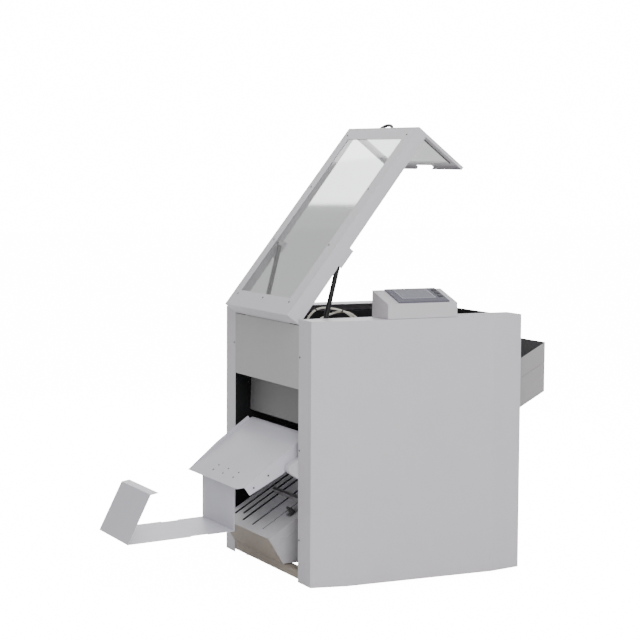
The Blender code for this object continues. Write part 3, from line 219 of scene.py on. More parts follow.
def surfaceGroup():  # fine grain in the normal, clouding in the colour, unevenness in the sheen
    group = bpy.data.node_groups.new("surfaceFinish", "ShaderNodeTree")
    addSockets(group, surfaceSet["inputs"], surfaceSet["outputs"])
    make, link = group.nodes.new, group.links.new
    given = make("NodeGroupInput")
    result = make("NodeGroupOutput")
    place = make("ShaderNodeTexCoord")
    stretch = make("ShaderNodeVectorMath")
    stretch.operation = "MULTIPLY"
    link(place.outputs["Object"], stretch.inputs[0])
    link(given.outputs["Stretch"], stretch.inputs[1])
    cloud = make("ShaderNodeTexNoise")
    cloud.inputs["Scale"].default_value = surfaceSet["cloudScale"]
    cloud.inputs["Detail"].default_value = surfaceSet["cloudDetail"]
    link(place.outputs["Object"], cloud.inputs["Vector"])
    mixAmount = make("ShaderNodeMath")
    mixAmount.operation = "MULTIPLY"
    link(cloud.outputs["Fac"], mixAmount.inputs[0])
    link(given.outputs["Clouding"], mixAmount.inputs[1])
    mix = make("ShaderNodeMix")
    mix.data_type = "RGBA"
    link(mixAmount.outputs[0], mix.inputs["Factor"])
    link(given.outputs["Colour"], mix.inputs["A"])
    link(given.outputs["Shade"], mix.inputs["B"])
    grain = make("ShaderNodeTexNoise")
    grain.inputs["Detail"].default_value = surfaceSet["grainDetail"]
    link(stretch.outputs[0], grain.inputs["Vector"])
    link(given.outputs["Grain Scale"], grain.inputs["Scale"])
    bump = make("ShaderNodeBump")
    bump.inputs["Strength"].default_value = 1.0
    link(given.outputs["Grain Depth"], bump.inputs["Distance"])
    link(grain.outputs["Fac"], bump.inputs["Height"])
    vary = make("ShaderNodeMath")
    vary.operation = "MULTIPLY_ADD"
    link(grain.outputs["Fac"], vary.inputs[0])
    link(given.outputs["Unevenness"], vary.inputs[1])
    link(given.outputs["Roughness"], vary.inputs[2])
    link(mix.outputs["Result"], result.inputs["Colour"])
    link(vary.outputs[0], result.inputs["Roughness"])
    link(bump.outputs["Normal"], result.inputs["Normal"])
    return group


finishes = {
    "coverPaint": {"colour": (0.545, 0.525, 0.560), "shade": (0.470, 0.452, 0.485), "clouding": 0.5,
                   "grainScale": 700.0, "grainDepth": 0.00006, "roughness": 0.38, "unevenness": 0.12},
    "chutePaint": {"colour": (0.560, 0.555, 0.610), "shade": (0.510, 0.510, 0.565), "clouding": 0.5,
                   "grainScale": 800.0, "grainDepth": 0.00005, "roughness": 0.36, "unevenness": 0.12},
    # the end panels' grey, darker than the cover paint as painted shade
    "shadedPanelPaint": {"colour": (0.400, 0.397, 0.400), "shade": (0.350, 0.347, 0.350), "clouding": 0.5,
                   "grainScale": 700.0, "grainDepth": 0.00006, "roughness": 0.4, "unevenness": 0.12},
    # the base's tan, darker as painted shade
    "shadedBasePaint": {"colour": (0.33, 0.285, 0.24), "shade": (0.24, 0.205, 0.175), "clouding": 0.7,
                  "grainScale": 600.0, "grainDepth": 0.00008, "roughness": 0.5, "unevenness": 0.15},
    "blackPaint": {"colour": (0.004, 0.004, 0.0045), "shade": (0.007, 0.007, 0.008), "clouding": 0.6,
                   "grainScale": 900.0, "grainDepth": 0.00005, "roughness": 0.55, "unevenness": 0.15,
                   "specular": 0.2},
    "blackPlastic": {"colour": (0.018, 0.018, 0.020), "shade": (0.03, 0.03, 0.032), "clouding": 0.5,
                     "grainScale": 1500.0, "grainDepth": 0.00008, "roughness": 0.45, "unevenness": 0.1},
    "consolePlastic": {"colour": (0.520, 0.500, 0.525), "shade": (0.470, 0.452, 0.475), "clouding": 0.4,
                       "grainScale": 1600.0, "grainDepth": 0.00006, "roughness": 0.42, "unevenness": 0.1},
    "bezelPlastic": {"colour": (0.098, 0.096, 0.130), "shade": (0.080, 0.078, 0.108), "clouding": 0.4,
                     "grainScale": 1400.0, "grainDepth": 0.00003, "roughness": 0.22, "unevenness": 0.06},
    "displayGlass": {"colour": (0.215, 0.215, 0.250), "shade": (0.170, 0.170, 0.200), "clouding": 0.8,
                     "grainScale": 300.0, "grainDepth": 0.000002, "roughness": 0.12, "unevenness": 0.03},
    "hopperPaint": {"colour": (0.330, 0.318, 0.325), "shade": (0.29, 0.28, 0.287), "clouding": 0.5,
                    "grainScale": 700.0, "grainDepth": 0.00006, "roughness": 0.42, "unevenness": 0.12},
    # the deflector's colour taken from its shadowed part, dark as painted shade; the stitch heads share it
    "shadedDeflectorSteel": {"colour": (0.165, 0.162, 0.165), "shade": (0.115, 0.113, 0.115), "clouding": 0.9,
                       "grainScale": 500.0, "grainDepth": 0.00004, "roughness": 0.36, "unevenness": 0.14},
    # the hopper tray's inside, much darker than its outside
    "trayInsideDark": {"colour": (0.10, 0.098, 0.102), "shade": (0.075, 0.073, 0.077), "clouding": 0.7,
                "grainScale": 1200.0, "grainDepth": 0.00008, "roughness": 0.6, "unevenness": 0.1},
    "bedPaint": {"colour": (0.50, 0.49, 0.515), "shade": (0.43, 0.42, 0.445), "clouding": 0.6,
                 "grainScale": 800.0, "grainDepth": 0.00005, "roughness": 0.33, "unevenness": 0.12},
    "strutBlack": {"colour": (0.006, 0.006, 0.007), "shade": (0.010, 0.010, 0.012), "clouding": 0.4,
                   "grainScale": 1100.0, "grainDepth": 0.00002, "roughness": 0.25, "unevenness": 0.08,
                   "specular": 0.4},
    "groundSteel": {"colour": (0.52, 0.52, 0.53), "shade": (0.42, 0.42, 0.43), "clouding": 0.5,
                    "metallic": 1.0, "grainScale": 260.0, "grainDepth": 0.00002,
                    "roughness": 0.28, "unevenness": 0.16,
                    "stretch": (0.15, 4.0, 4.0)},
    "screwZinc": {"colour": (0.115, 0.11, 0.11), "shade": (0.07, 0.068, 0.068), "clouding": 0.7,
                  "metallic": 1.0, "grainScale": 900.0, "grainDepth": 0.00003,
                  "roughness": 0.34, "unevenness": 0.15},
    "blackRubber": {"colour": (0.022, 0.022, 0.022), "shade": (0.04, 0.04, 0.04), "clouding": 0.6,
                    "grainScale": 1100.0, "grainDepth": 0.00010, "roughness": 0.72, "unevenness": 0.12},
    "copperWire": {"colour": (0.62, 0.34, 0.18), "shade": (0.45, 0.25, 0.14), "clouding": 0.5,
                   "metallic": 1.0, "grainScale": 900.0, "grainDepth": 0.00003,
                   "roughness": 0.28, "unevenness": 0.1},
    "displayFrame": {"colour": (0.30, 0.30, 0.35), "shade": (0.26, 0.26, 0.31), "clouding": 0.4,
                     "grainScale": 1400.0, "grainDepth": 0.00002, "roughness": 0.3, "unevenness": 0.06},
    "creamHose": {"colour": (0.72, 0.70, 0.62), "shade": (0.60, 0.57, 0.48), "clouding": 0.6,
                  "grainScale": 500.0, "grainDepth": 0.00002, "roughness": 0.25, "unevenness": 0.1},
}


def makeFinish(name, group):
    values = finishes[name]
    material = bpy.data.materials.new(name)
    material.use_nodes = True
    tree = material.node_tree
    shader = tree.nodes["Principled BSDF"]
    shader.inputs["Metallic"].default_value = values.get("metallic", 0.0)
    shader.inputs["Specular IOR Level"].default_value = values.get("specular", 0.5)
    finish = tree.nodes.new("ShaderNodeGroup")
    finish.node_tree = group
    finish.inputs["Colour"].default_value = (*values["colour"], 1.0)
    finish.inputs["Shade"].default_value = (*values["shade"], 1.0)
    for socket, key in (("Clouding", "clouding"), ("Grain Scale", "grainScale"),
                        ("Grain Depth", "grainDepth"), ("Roughness", "roughness"),
                        ("Unevenness", "unevenness")):
        finish.inputs[socket].default_value = values[key]
    finish.inputs["Stretch"].default_value = values.get("stretch", (1.0, 1.0, 1.0))
    tree.links.new(finish.outputs["Colour"], shader.inputs["Base Color"])
    tree.links.new(finish.outputs["Roughness"], shader.inputs["Roughness"])
    tree.links.new(finish.outputs["Normal"], shader.inputs["Normal"])
    return material


acrylicSet = {"colour": (0.93, 0.95, 0.95), "roughness": 0.03, "index": 1.49}


def makeAcrylic():
    material = plainMaterial("clearAcrylic", acrylicSet["colour"], acrylicSet["roughness"])
    shader = material.node_tree.nodes["Principled BSDF"]
    shader.inputs["IOR"].default_value = acrylicSet["index"]
    shader.inputs["Transmission Weight"].default_value = 1.0
    return material


# Shared modelling steps

def deselect():
    if bpy.context.mode != "OBJECT":
        bpy.ops.object.mode_set(mode="OBJECT")
    bpy.ops.object.select_all(action="DESELECT")


def activate(piece):
    deselect()
    piece.select_set(True)
    bpy.context.view_layer.objects.active = piece


def edit(piece, select="VERT"):
    activate(piece)
    bpy.ops.object.mode_set(mode="EDIT")
    bpy.ops.mesh.select_mode(type=select)


def applied(piece, kind, **values):
    modifier = piece.modifiers.new(kind.lower(), kind)
    for name, value in values.items():
        setattr(modifier, name, value)
    activate(piece)
    bpy.ops.object.modifier_apply(modifier=modifier.name)


def smooth(piece, angle=32):  # broad faces stay flat beside their rounded edges
    activate(piece)
    bpy.ops.object.shade_smooth_by_angle(angle=math.radians(angle))
    applied(piece, "WEIGHTED_NORMAL", keep_sharp=True, weight=100)


def settle(piece, name, body, material):  # names a finished piece, with its place in its mesh
    activate(piece)
    bpy.ops.object.transform_apply(location=True, rotation=True, scale=True)
    piece.name = name
    piece.data.materials.clear()
    piece.data.materials.append(material)
    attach(piece, body)
    return piece


foldSet = {"leastAngle": 8, "lengthShare": 4, "breadthShare": 2.2}
cleanSet = {"weld": 0.00002, "flatAngle": 0.6, "edgeAngle": 40}


def isFold(edge, faces, width):  # an edge between two broad faces, as on folded sheet
    length = (edge.verts[0].co - edge.verts[1].co).length
    if len(faces) != 2 or faces[0].normal.angle(faces[1].normal, 0) <= math.radians(foldSet["leastAngle"]):
        return False
    breadth = min(face.calc_area() for face in faces) / length
    return length > width * foldSet["lengthShare"] and breadth > width * foldSet["breadthShare"]


# A node's shape with its folds rolled and its cut edges broken, in the node's place
def roundedCopy(nodeName, slotName, material, fold=0.0, edge=0.0004, segments=3):
    source = nodes[nodeName]
    piece = bpy.data.objects.new(nodeName + "Dressed", source.data.copy())
    bpy.context.scene.collection.objects.link(piece)
    edit(piece)
    bpy.ops.mesh.select_all(action="SELECT")
    bpy.ops.mesh.remove_doubles(threshold=cleanSet["weld"])
    bpy.ops.mesh.dissolve_limited(angle_limit=math.radians(cleanSet["flatAngle"]))
    if fold:
        bpy.ops.mesh.select_mode(type="EDGE")
        bpy.ops.mesh.select_all(action="DESELECT")
        shape = bmesh.from_edit_mesh(piece.data)
        for line in shape.edges:
            line.select_set(isFold(line, list(line.link_faces), fold))
        bmesh.update_edit_mesh(piece.data)
        if any(line.select for line in shape.edges):
            bpy.ops.mesh.bevel(offset=fold, segments=segments + 1, affect="EDGES", clamp_overlap=True)
    deselect()
    if edge:
        applied(piece, "BEVEL", width=edge, segments=segments, limit_method="ANGLE",
                angle_limit=math.radians(cleanSet["edgeAngle"]))
    smooth(piece)
    settle(piece, nodeName + "Dressed", source["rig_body"], material)
    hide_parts(nodeName)
    return piece


def standing(spot, normal):
    return Matrix.Translation(spot) @ Vector(normal).to_track_quat("Z", "Y").to_matrix().to_4x4()


def placed(pattern, spot, normal, name):  # a copy of a pattern, standing on spot along normal
    copy = bpy.data.objects.new(name, pattern.data.copy())
    bpy.context.scene.collection.objects.link(copy)
    copy.matrix_world = standing(spot, normal)
    return copy


def joined(pieces, name, body, material):
    deselect()
    for piece in pieces:
        piece.select_set(True)
    bpy.context.view_layer.objects.active = pieces[0]
    if len(pieces) > 1:
        bpy.ops.object.join()
    return settle(pieces[0], name, body, material)


def recoloured(piece, material, test):  # gives the faces that pass the test a second finish
    piece.data.materials.append(material)
    last = len(piece.data.materials) - 1
    for face in piece.data.polygons:
        if test(face.center, face.normal):
            face.material_index = last


# A box with broken edges, centred on spot, turned up towards +X and tilted up towards +Y
def bar(size, spot, turn=0.0, edge=0.0005, segments=2, tilt=0.0):
    bpy.ops.mesh.primitive_cube_add(size=1.0, location=(0, 0, 0))
    piece = bpy.context.object
    piece.scale = size
    bpy.ops.object.transform_apply(scale=True)
    applied(piece, "BEVEL", width=edge, segments=segments)
    smooth(piece)
    piece.matrix_world = (Matrix.Translation(spot) @ Matrix.Rotation(-turn, 4, "Y")
                          @ Matrix.Rotation(tilt, 4, "X"))
    return piece


def stacked(rows, spot, normal, sides=24, angle=32):  # rings of a radius at a height, closed at both ends
    bpy.ops.mesh.primitive_circle_add(vertices=sides, radius=rows[0][0], fill_type="NGON",
                                      location=(0, 0, rows[0][1]))
    piece = bpy.context.object
    edit(piece, "FACE")
    bpy.ops.mesh.select_all(action="SELECT")
    for (radius, height), (newRadius, newHeight) in zip(rows, rows[1:]):
        bpy.ops.mesh.extrude_region_move(TRANSFORM_OT_translate={"value": (0, 0, newHeight - height)})
        ratio = newRadius / radius
        bpy.ops.transform.resize(value=(ratio, ratio, 1), center_override=(0, 0, newHeight))
    bpy.ops.mesh.select_all(action="SELECT")
    bpy.ops.mesh.normals_make_consistent(inside=False)
    deselect()
    activate(piece)
    bpy.ops.object.transform_apply(location=True, rotation=True, scale=True)
    smooth(piece, angle)
    piece.matrix_world = standing(spot, normal)
    return piece


tubeSet = {"ringSteps": 4, "smoothAngle": 50}


def tubeAlong(path, radius, name):
    curve = bpy.data.curves.new(name, "CURVE")
    curve.dimensions = "3D"
    curve.bevel_depth = radius
    curve.bevel_resolution = tubeSet["ringSteps"]
    curve.use_fill_caps = True
    line = curve.splines.new("POLY")
    line.points.add(len(path) - 1)
    for point, spot in zip(line.points, path):
        point.co = (*spot, 1.0)
    tube = bpy.data.objects.new(name, curve)
    bpy.context.scene.collection.objects.link(tube)
    activate(tube)
    bpy.ops.object.convert(target="MESH")
    smooth(bpy.context.object, tubeSet["smoothAngle"])
    return bpy.context.object


def curved(spots, steps=6):  # a smooth path through spots
    ends = [spots[0] * 2 - spots[1]] + spots + [spots[-1] * 2 - spots[-2]]
    path = []
    for before, start, end, after in zip(ends, ends[1:], ends[2:], ends[3:]):
        slope = end - before
        bend = 2 * before - 5 * start + 4 * end - after
        twist = 3 * start - before - 3 * end + after
        for step in range(steps):
            t = step / steps
            path.append(0.5 * (2 * start + slope * t + bend * t * t + twist * t ** 3))
    return path + [spots[-1]]


screwSet = {"radius": 0.0034, "height": 0.0017, "sides": 18, "crownInset": 0.22, "crownRise": 0.3,
            "socket": 0.0018, "socketDepth": 0.0012, "smoothAngle": 40}


def makeScrewPattern():  # a low round head with a round socket, standing on z = 0
    bpy.ops.mesh.primitive_cylinder_add(vertices=screwSet["sides"], radius=screwSet["radius"],
                                        depth=screwSet["height"], location=(0, 0, screwSet["height"] / 2))
    screw = bpy.context.object
    edit(screw, "FACE")
    bpy.ops.mesh.select_all(action="DESELECT")
    deselect()
    for face in screw.data.polygons:
        face.select = face.normal.z > 0.9
    edit(screw, "FACE")
    bpy.ops.mesh.inset(thickness=screwSet["radius"] * screwSet["crownInset"])
    bpy.ops.transform.translate(value=(0, 0, screwSet["height"] * screwSet["crownRise"]))
    bpy.ops.mesh.inset(thickness=screwSet["radius"] * (1 - screwSet["crownInset"]) - screwSet["socket"])
    bpy.ops.mesh.extrude_region_move(TRANSFORM_OT_translate={"value": (0, 0, -screwSet["socketDepth"])})
    deselect()
    smooth(screw, screwSet["smoothAngle"])
    return screw


def addScrews(pattern, name, spots, body):
    copies = [placed(pattern, spot, normal, name + str(number))
              for number, (spot, normal) in enumerate(spots)]
    return joined(copies, name, body, finishOf["screwZinc"])


# Pieces

edges = {  # how far an edge is broken, by how such a piece is made
    "fine": 0.0003,
    "sheet": 0.0004,
    "plate": 0.0005,
    "bar": 0.0006,
    "turned": 0.0008,
    "cast": 0.0015,
    "bezel": 0.002,
    "moulded": 0.005,
}

# Folded sheet has its folds rolled too
coverRounding = {"fold": 0.0045, "edge": edges["sheet"]}
panelRounding = {"fold": 0.0022, "edge": edges["sheet"]}
plateRounding = {"fold": 0.0028, "edge": edges["plate"]}
lidRounding = {"fold": 0.0028, "edge": edges["sheet"]}
windowRounding = {"fold": 0.004, "edge": edges["fine"]}
bedRounding = {"fold": 0.003, "edge": edges["sheet"]}
hopperRounding = {"fold": 0.002, "edge": 0.0012}
endPanelRounding = {"fold": 0.002, "edge": edges["plate"]}


def makeCovers():
    paint = finishOf["coverPaint"]
    for name in ("near_cover", "far_cover"):
        roundedCopy(name, "grey_paint", paint, **coverRounding)
    print("covers done")


def makeExitEnd():
    roundedCopy("exit_upper_panel", "grey_paint", finishOf["shadedPanelPaint"], **panelRounding)
    roundedCopy("exit_deflector", "grey_paint", finishOf["shadedDeflectorSteel"], **panelRounding)
    roundedCopy("base_frame", "tan_steel", finishOf["shadedBasePaint"], edge=edges["bar"])
    for name in ("near_side_plate", "far_side_plate", "exit_top_rail", "infeed_top_rail", "bed_crossbar"):
        roundedCopy(name, "black_paint", finishOf["blackPaint"], edge=edges["bar"])
    for number in range(1, 5):
        roundedCopy(f"levelling_foot_{number}", "rubber", finishOf["blackRubber"], edge=edges["turned"])
    roundedCopy("lid_hinge", "steel", finishOf["groundSteel"], edge=edges["fine"])
    print("exit end and frame done")


lidSet = {
    "screws": ((0.817, 0.189), (0.817, 0.672), (0.565, 0.191), (0.565, 0.672), (0.310, 0.193), (0.310, 0.672),
               (0.054, 0.193), (0.054, 0.423), (0.054, 0.655)),
    "screwRise": 0.0577,
}
handleSet = {
    "along": 0.852,
    "middle": 0.4175,
    "half": 0.046,
    "reach": 0.0225,
    "rise": 0.0437,
    "radius": 0.0058,
    "steps": 12,
    "foot": ((0.0095, 0.0002), (0.0095, 0.003), (0.0075, 0.0045)),
    "footSides": 20,
}
strutSet = {
    "places": (("near", 0.1355), ("far", 0.6995)),
    "capLength": 0.022,
    "bracketSize": (0.078, 0.002, 0.030),
    "bracketAlong": 0.298,
    "bracketRise": 0.004,
}


def makeHandle():
    spots = []
    for step in range(handleSet["steps"] + 1):
        angle = math.pi * step / handleSet["steps"]
        spots.append(onLid(handleSet["along"] + handleSet["reach"] * math.sin(angle),
                           handleSet["middle"] - handleSet["half"] * math.cos(angle), handleSet["rise"]))
    handle = tubeAlong(curved(spots, 2), handleSet["radius"], "pullLoop")
    along = Vector((math.cos(lidTurn), 0, math.sin(lidTurn)))
    feet = [stacked(handleSet["foot"], spot, along, handleSet["footSides"])
            for spot in (onLid(handleSet["along"], handleSet["middle"] + side * handleSet["half"],
                               handleSet["rise"]) for side in (-1, 1))]
    pull = joined([handle] + feet, "lidPull", "lid", finishOf["blackPlastic"])
    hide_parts("lid_handle")


def makeStruts():
    for side, y in strutSet["places"]:
        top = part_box(f"strut_cylinder_{side}")[1][2]
        case = roundedCopy(f"strut_cylinder_{side}", "black_paint", finishOf["strutBlack"],
                           edge=edges["turned"])
        recoloured(case, finishOf["groundSteel"], lambda spot, normal: spot.z > top - strutSet["capLength"])
        roundedCopy(f"strut_rod_{side}", "steel", finishOf["groundSteel"], edge=edges["bar"])
        bracket = bar(strutSet["bracketSize"], onLid(strutSet["bracketAlong"], y, strutSet["bracketRise"]),
                      lidTurn, edge=edges["turned"])
        joined([bracket], f"strutBracket{side.title()}", "lid", finishOf["coverPaint"])


def makeLid():
    roundedCopy("lid_frame", "grey_paint", finishOf["coverPaint"], **lidRounding)
    roundedCopy("lid_window", "clear", acrylic, **windowRounding)
    makeHandle()
    makeStruts()
    print("lid and struts done")


def makeChute():
    for name in ("delivery_chute", "receiving_tray"):
        roundedCopy(name, "grey_paint", finishOf["chutePaint"], **plateRounding)
    roundedCopy("chute_support_arm", "grey_paint", finishOf["coverPaint"], edge=edges["cast"])
    print("chute and tray done")


bedSet = {
    # the next four place the black sheet under the bed that paints shade into its slots
    "shadeSheetDepth": 0.0045,
    "shadeSheetThick": 0.0015,
    "shadeSheetAlong": (0.020, 0.352),
    "shadeSheetY": (0.268, 0.690),
    # the next two place the ridge that paints a highlight line along the near beam
    "highlightRidgeSize": (0.150, 0.0012, 0.0016),
    "highlightRidgePlace": (0.085, 0.2474, -0.0335),
    "edgeFacing": -0.55,
    "topFacing": 0.3,
}


def makeBed():
    bed = roundedCopy("bed_plate", "grey_paint", finishOf["bedPaint"], **bedRounding)
    # The bed's end faces, facing down and out, take the base's tan, darker as painted shade.
    recoloured(bed, finishOf["shadedBasePaint"],
               lambda spot, normal: normal.x < bedSet["edgeFacing"] and normal.z < bedSet["topFacing"])
    # A black sheet under the bed plate, seen through its slots as painted shade, so the slots read dark.
    low, high = bedSet["shadeSheetAlong"], bedSet["shadeSheetY"]
    slotShadeSheet = bar((low[1] - low[0], high[1] - high[0], bedSet["shadeSheetThick"]),
                onBed((low[0] + low[1]) / 2, (high[0] + high[1]) / 2, -bedSet["shadeSheetDepth"]), bedTurn)
    joined([slotShadeSheet], "bedSlotShadeSheet", "root", finishOf["blackPaint"])
    roundedCopy("near_bed_beam", "grey_paint", finishOf["bedPaint"], edge=edges["plate"])
    # A thin ridge on the near beam's face, in the lighter cover paint as a painted highlight line.
    highlightRidge = bar(bedSet["highlightRidgeSize"], onBed(*bedSet["highlightRidgePlace"]), bedTurn, edge=edges["fine"])
    joined([highlightRidge], "bedWallHighlightRidge", "root", finishOf["coverPaint"])
    roundedCopy("infeed_bed_plate", "grey_paint", finishOf["bedPaint"], edge=edges["plate"])
    roundedCopy("paper_stop", "steel", finishOf["groundSteel"], edge=edges["bar"])
    roundedCopy("stop_clamp_knob", "black_plastic", finishOf["blackPlastic"], edge=edges["cast"])
    print("bed done")


rollerSet = {"nearEnd": 0.1995, "farEnd": 0.5605, "journal": 0.0095}
spoolSet = {"core": 0.0352, "half": 0.0098, "start": -0.0096, "turns": 12, "pitch": 0.0016,
            "turnShape": ((0.0358, 0.0002), (0.0366, 0.0008), (0.0358, 0.0014)),
            "sides": 32, "smoothAngle": 60}


def middleOf(name):
    low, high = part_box(name)
    return (Vector(low) + Vector(high)) / 2


def makeRollers():  # rubber between bare steel journals
    for name in ("fold_roller_front", "fold_roller_rear"):
        roller = roundedCopy(name, "rubber", finishOf["blackRubber"], edge=edges["fine"])
        middle = middleOf(name)
        recoloured(roller, finishOf["groundSteel"],
                   lambda spot, normal: spot.y < coverLow.y + rollerSet["nearEnd"]
                   or spot.y > coverLow.y + rollerSet["farEnd"]
                   and math.hypot(spot.x - middle.x, spot.z - middle.z) < rollerSet["journal"])


def makeSpools():  # each with its wound wire
    for name in ("wire_spool_near", "wire_spool_far"):
        roundedCopy(name, "wire", finishOf["blackPlastic"], edge=edges["plate"])
        turns = [(spoolSet["core"], -spoolSet["half"])]
        for turn in range(spoolSet["turns"]):
            start = spoolSet["start"] + turn * spoolSet["pitch"]
            turns += [(radius, start + step) for radius, step in spoolSet["turnShape"]]
        turns += [(spoolSet["core"], spoolSet["half"])]
        winding = stacked(turns, middleOf(name), (0, 1, 0), spoolSet["sides"], spoolSet["smoothAngle"])
        joined([winding], name + "Winding", nodes[name]["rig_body"], finishOf["copperWire"])


def makeWorks():
    for name in ("side_guide_near", "side_guide_far", "stitch_beam", "clinch_bar", "stitch_driver_near",
                 "stitch_driver_far", "fold_knife", "roller_bearing_near", "roller_bearing_far"):
        roundedCopy(name, "steel", finishOf["groundSteel"], edge=edges["plate"])
    for name in ("stitch_head_near", "stitch_head_far"):
        roundedCopy(name, "steel", finishOf["shadedDeflectorSteel"], edge=edges["cast"])
    roundedCopy("drive_motor", "steel", finishOf["blackPaint"], edge=edges["turned"])
    roundedCopy("drive_belt", "rubber", finishOf["blackRubber"], edge=edges["fine"])
    makeRollers()
    makeSpools()
    roundedCopy("motor_pulley", "black_plastic", finishOf["blackPlastic"], edge=edges["plate"])
    print("works done")


infeedSet = {
    "sideFacing": 0.7,
    "ventSize": (0.0012, 0.070, 0.0045),
    "ventRows": (0.300, 0.316, 0.332, 0.348, 0.364, 0.380),
    "ventColumns": (0.330, 0.420, 0.510),
}


def makeInfeed():
    roundedCopy("hopper_housing", "grey_paint", finishOf["hopperPaint"], **hopperRounding)
    # The tray is much darker inside than out.
    tray = roundedCopy("hopper_tray", "grey_paint", finishOf["trayInsideDark"], **hopperRounding)
    low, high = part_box("hopper_tray")

    skin = hopperRounding["edge"]

    def isOuter(spot, normal):  # the tray's outside has the housing's paint
        side = spot.y < low[1] + skin or spot.y > high[1] - skin
        return abs(normal.y) > infeedSet["sideFacing"] and side or spot.x > high[0] - skin

    recoloured(tray, finishOf["hopperPaint"], isOuter)
    roundedCopy("infeed_end_panel", "grey_paint", finishOf["shadedPanelPaint"], **endPanelRounding)
    for name in ("power_inlet", "power_switch"):
        roundedCopy(name, "black_plastic", finishOf["blackPlastic"], edge=edges["bar"])
    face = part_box("infeed_end_panel")[1][0]
    vents = [bar(infeedSet["ventSize"], Vector((face, coverLow.y + y, coverLow.z + z)), edge=edges["sheet"])
             for y in infeedSet["ventColumns"] for z in infeedSet["ventRows"]]
    joined(vents, "panelVents", "root", finishOf["blackPaint"])
    print("infeed end done")


panelSet = {
    "start": (0.291, 0.002, 1.004),
    "lean": math.radians(18.7),
    "middle": (0.144, 0.0795),
    "frameSize": (0.139, 0.088, 0.0016),
    "frameRise": 0.0052,
    "frameEdge": 0.0006,
    "glassSize": (0.128, 0.078, 0.0022),
    "glassRise": 0.0053,
    "glassEdge": 0.0003,
}


def onPanel(x, up, rise):  # on the console's sloped face
    start, lean = panelSet["start"], panelSet["lean"]
    return at(start[0] + x, start[1] + up * math.cos(lean) - rise * math.sin(lean),
              start[2] + up * math.sin(lean) + rise * math.cos(lean))


def makeConsole():
    roundedCopy("console_housing", "console_plastic", finishOf["consolePlastic"], edge=edges["moulded"],
                segments=4)
    roundedCopy("touch_panel", "panel_plastic", finishOf["bezelPlastic"], edge=edges["bezel"])
    for part, name, finish in (("frame", "displayFrame", "displayFrame"),
                               ("glass", "displayGlassPane", "displayGlass")):
        spot = onPanel(*panelSet["middle"], panelSet[part + "Rise"])
        pane = bar(panelSet[part + "Size"], spot, tilt=panelSet["lean"], edge=panelSet[part + "Edge"])
        joined([pane], name, "root", finishOf[finish])
    for number in range(1, 4):
        roundedCopy(f"function_key_{number}", "console_plastic", finishOf["blackPlastic"],
                    edge=edges["sheet"])
    print("console done")


hoseSet = {
    "radius": 0.004,
    "routes": (
        ((0.0506, 0.235, 0.896), (0.058, 0.235, 0.896), (0.070, 0.236, 0.901), (0.095, 0.244, 0.950),
         (0.141, 0.250, 0.976), (0.204, 0.250, 0.971), (0.258, 0.252, 0.950), (0.330, 0.258, 0.885),
         (0.395, 0.270, 0.790), (0.430, 0.285, 0.715)),
        ((0.0506, 0.300, 0.896), (0.058, 0.300, 0.896), (0.072, 0.299, 0.898), (0.120, 0.290, 0.915),
         (0.173, 0.275, 0.943), (0.222, 0.268, 0.958), (0.275, 0.268, 0.951), (0.340, 0.290, 0.900),
         (0.405, 0.355, 0.805), (0.440, 0.400, 0.720)),
    ),
    "endAlong": 0.704,
    "ends": (0.285, 0.41),
    "beamTop": 0.1653,
    "endRises": (0.03, 0.0006),
    "ties": (0.34, 0.5),
}
fittingSet = {
    "sides": 20,
    "tieSides": 16,
    "rows": ((0.0062, 0.0004), (0.0062, 0.007), (0.0072, 0.0074), (0.0072, 0.012), (0.0052, 0.0135),
             (0.0052, 0.017)),
    "tie": ((0.0043, -0.0025), (0.0052, -0.0022), (0.0052, 0.0022), (0.0043, 0.0025)),
}


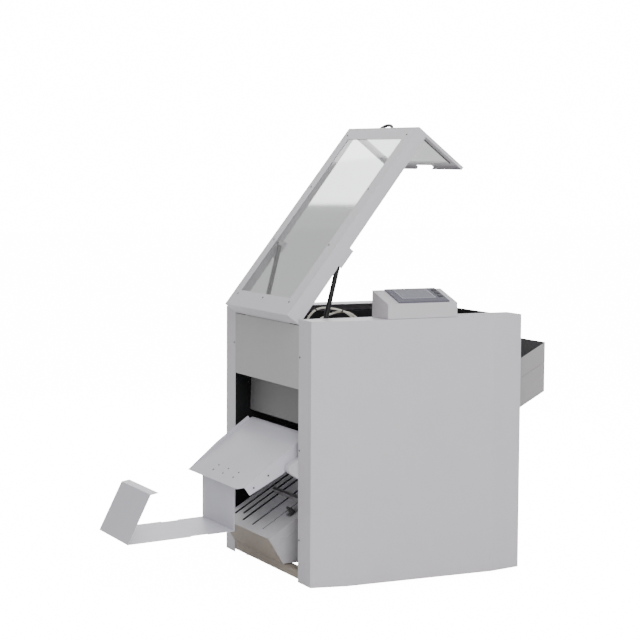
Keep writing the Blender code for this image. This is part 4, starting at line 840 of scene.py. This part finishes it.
def makeHoses():
    pieces, ties = [], []
    for number, (route, endY) in enumerate(zip(hoseSet["routes"], hoseSet["ends"])):
        spots = [at(*spot) for spot in route]
        spots += [onBed(hoseSet["endAlong"], endY, hoseSet["beamTop"] + rise) for rise in hoseSet["endRises"]]
        path = curved(spots)
        hose = tubeAlong(path, hoseSet["radius"], f"airHose{number + 1}")
        settle(hose, f"airHose{number + 1}", "root", finishOf["creamHose"])
        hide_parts(f"air_hose_{number + 1}")
        for spot, ahead in ((spots[0], Vector((1, 0, 0))), (spots[-1], spots[-2] - spots[-1])):
            pieces.append(stacked(fittingSet["rows"], spot, ahead, fittingSet["sides"]))
        for share in hoseSet["ties"]:
            place = int(share * (len(path) - 1))
            ahead = path[place + 1] - path[place - 1]
            ties.append(stacked(fittingSet["tie"], path[place], ahead, fittingSet["tieSides"]))
    joined(pieces, "hoseFittings", "root", finishOf["groundSteel"])
    joined(ties, "hoseTies", "root", finishOf["blackPlastic"])
    print("hoses done")


screwPlaces = {
    "coverY": (0.121, 0.714),
    "coverZ": (0.815, 0.480, 0.155),
    "coverDepth": -0.0001,
    "chuteAlong": (0.067, 0.040),
    "chuteY": (0.499, 0.408, 0.312),
    "flange": ((0.045, 0.170, -0.025), (0.115, 0.170, -0.025)),
}


def squareTo(turn):  # the direction square to a slope
    return Vector((-math.sin(turn), 0, math.cos(turn)))


def makeScrews():
    pattern = makeScrewPattern()
    spots = [(at(screwPlaces["coverDepth"], y, z), Vector((-1, 0, 0)))
             for y in screwPlaces["coverY"] for z in screwPlaces["coverZ"]]
    addScrews(pattern, "coverScrews", spots, "root")
    spots = [(onLid(along, y, lidSet["screwRise"]), squareTo(lidTurn)) for along, y in lidSet["screws"]]
    addScrews(pattern, "lidScrews", spots, "lid")
    spots = [(onChute(along, y, 0), squareTo(chuteTurn))
             for along in screwPlaces["chuteAlong"] for y in screwPlaces["chuteY"]]
    spots += [(onChute(*place), (0, -1, 0)) for place in screwPlaces["flange"]]
    addScrews(pattern, "chuteScrews", spots, "chute")
    bpy.data.objects.remove(pattern)
    print("screws done")


surface = surfaceGroup()
finishOf = {name: makeFinish(name, surface) for name in finishes}
acrylic = makeAcrylic()
makeCamera()
makeStage()
makeCovers()
makeExitEnd()
makeLid()
makeChute()
makeBed()
makeWorks()
makeInfeed()
makeConsole()
makeHoses()
makeScrews()
deselect()
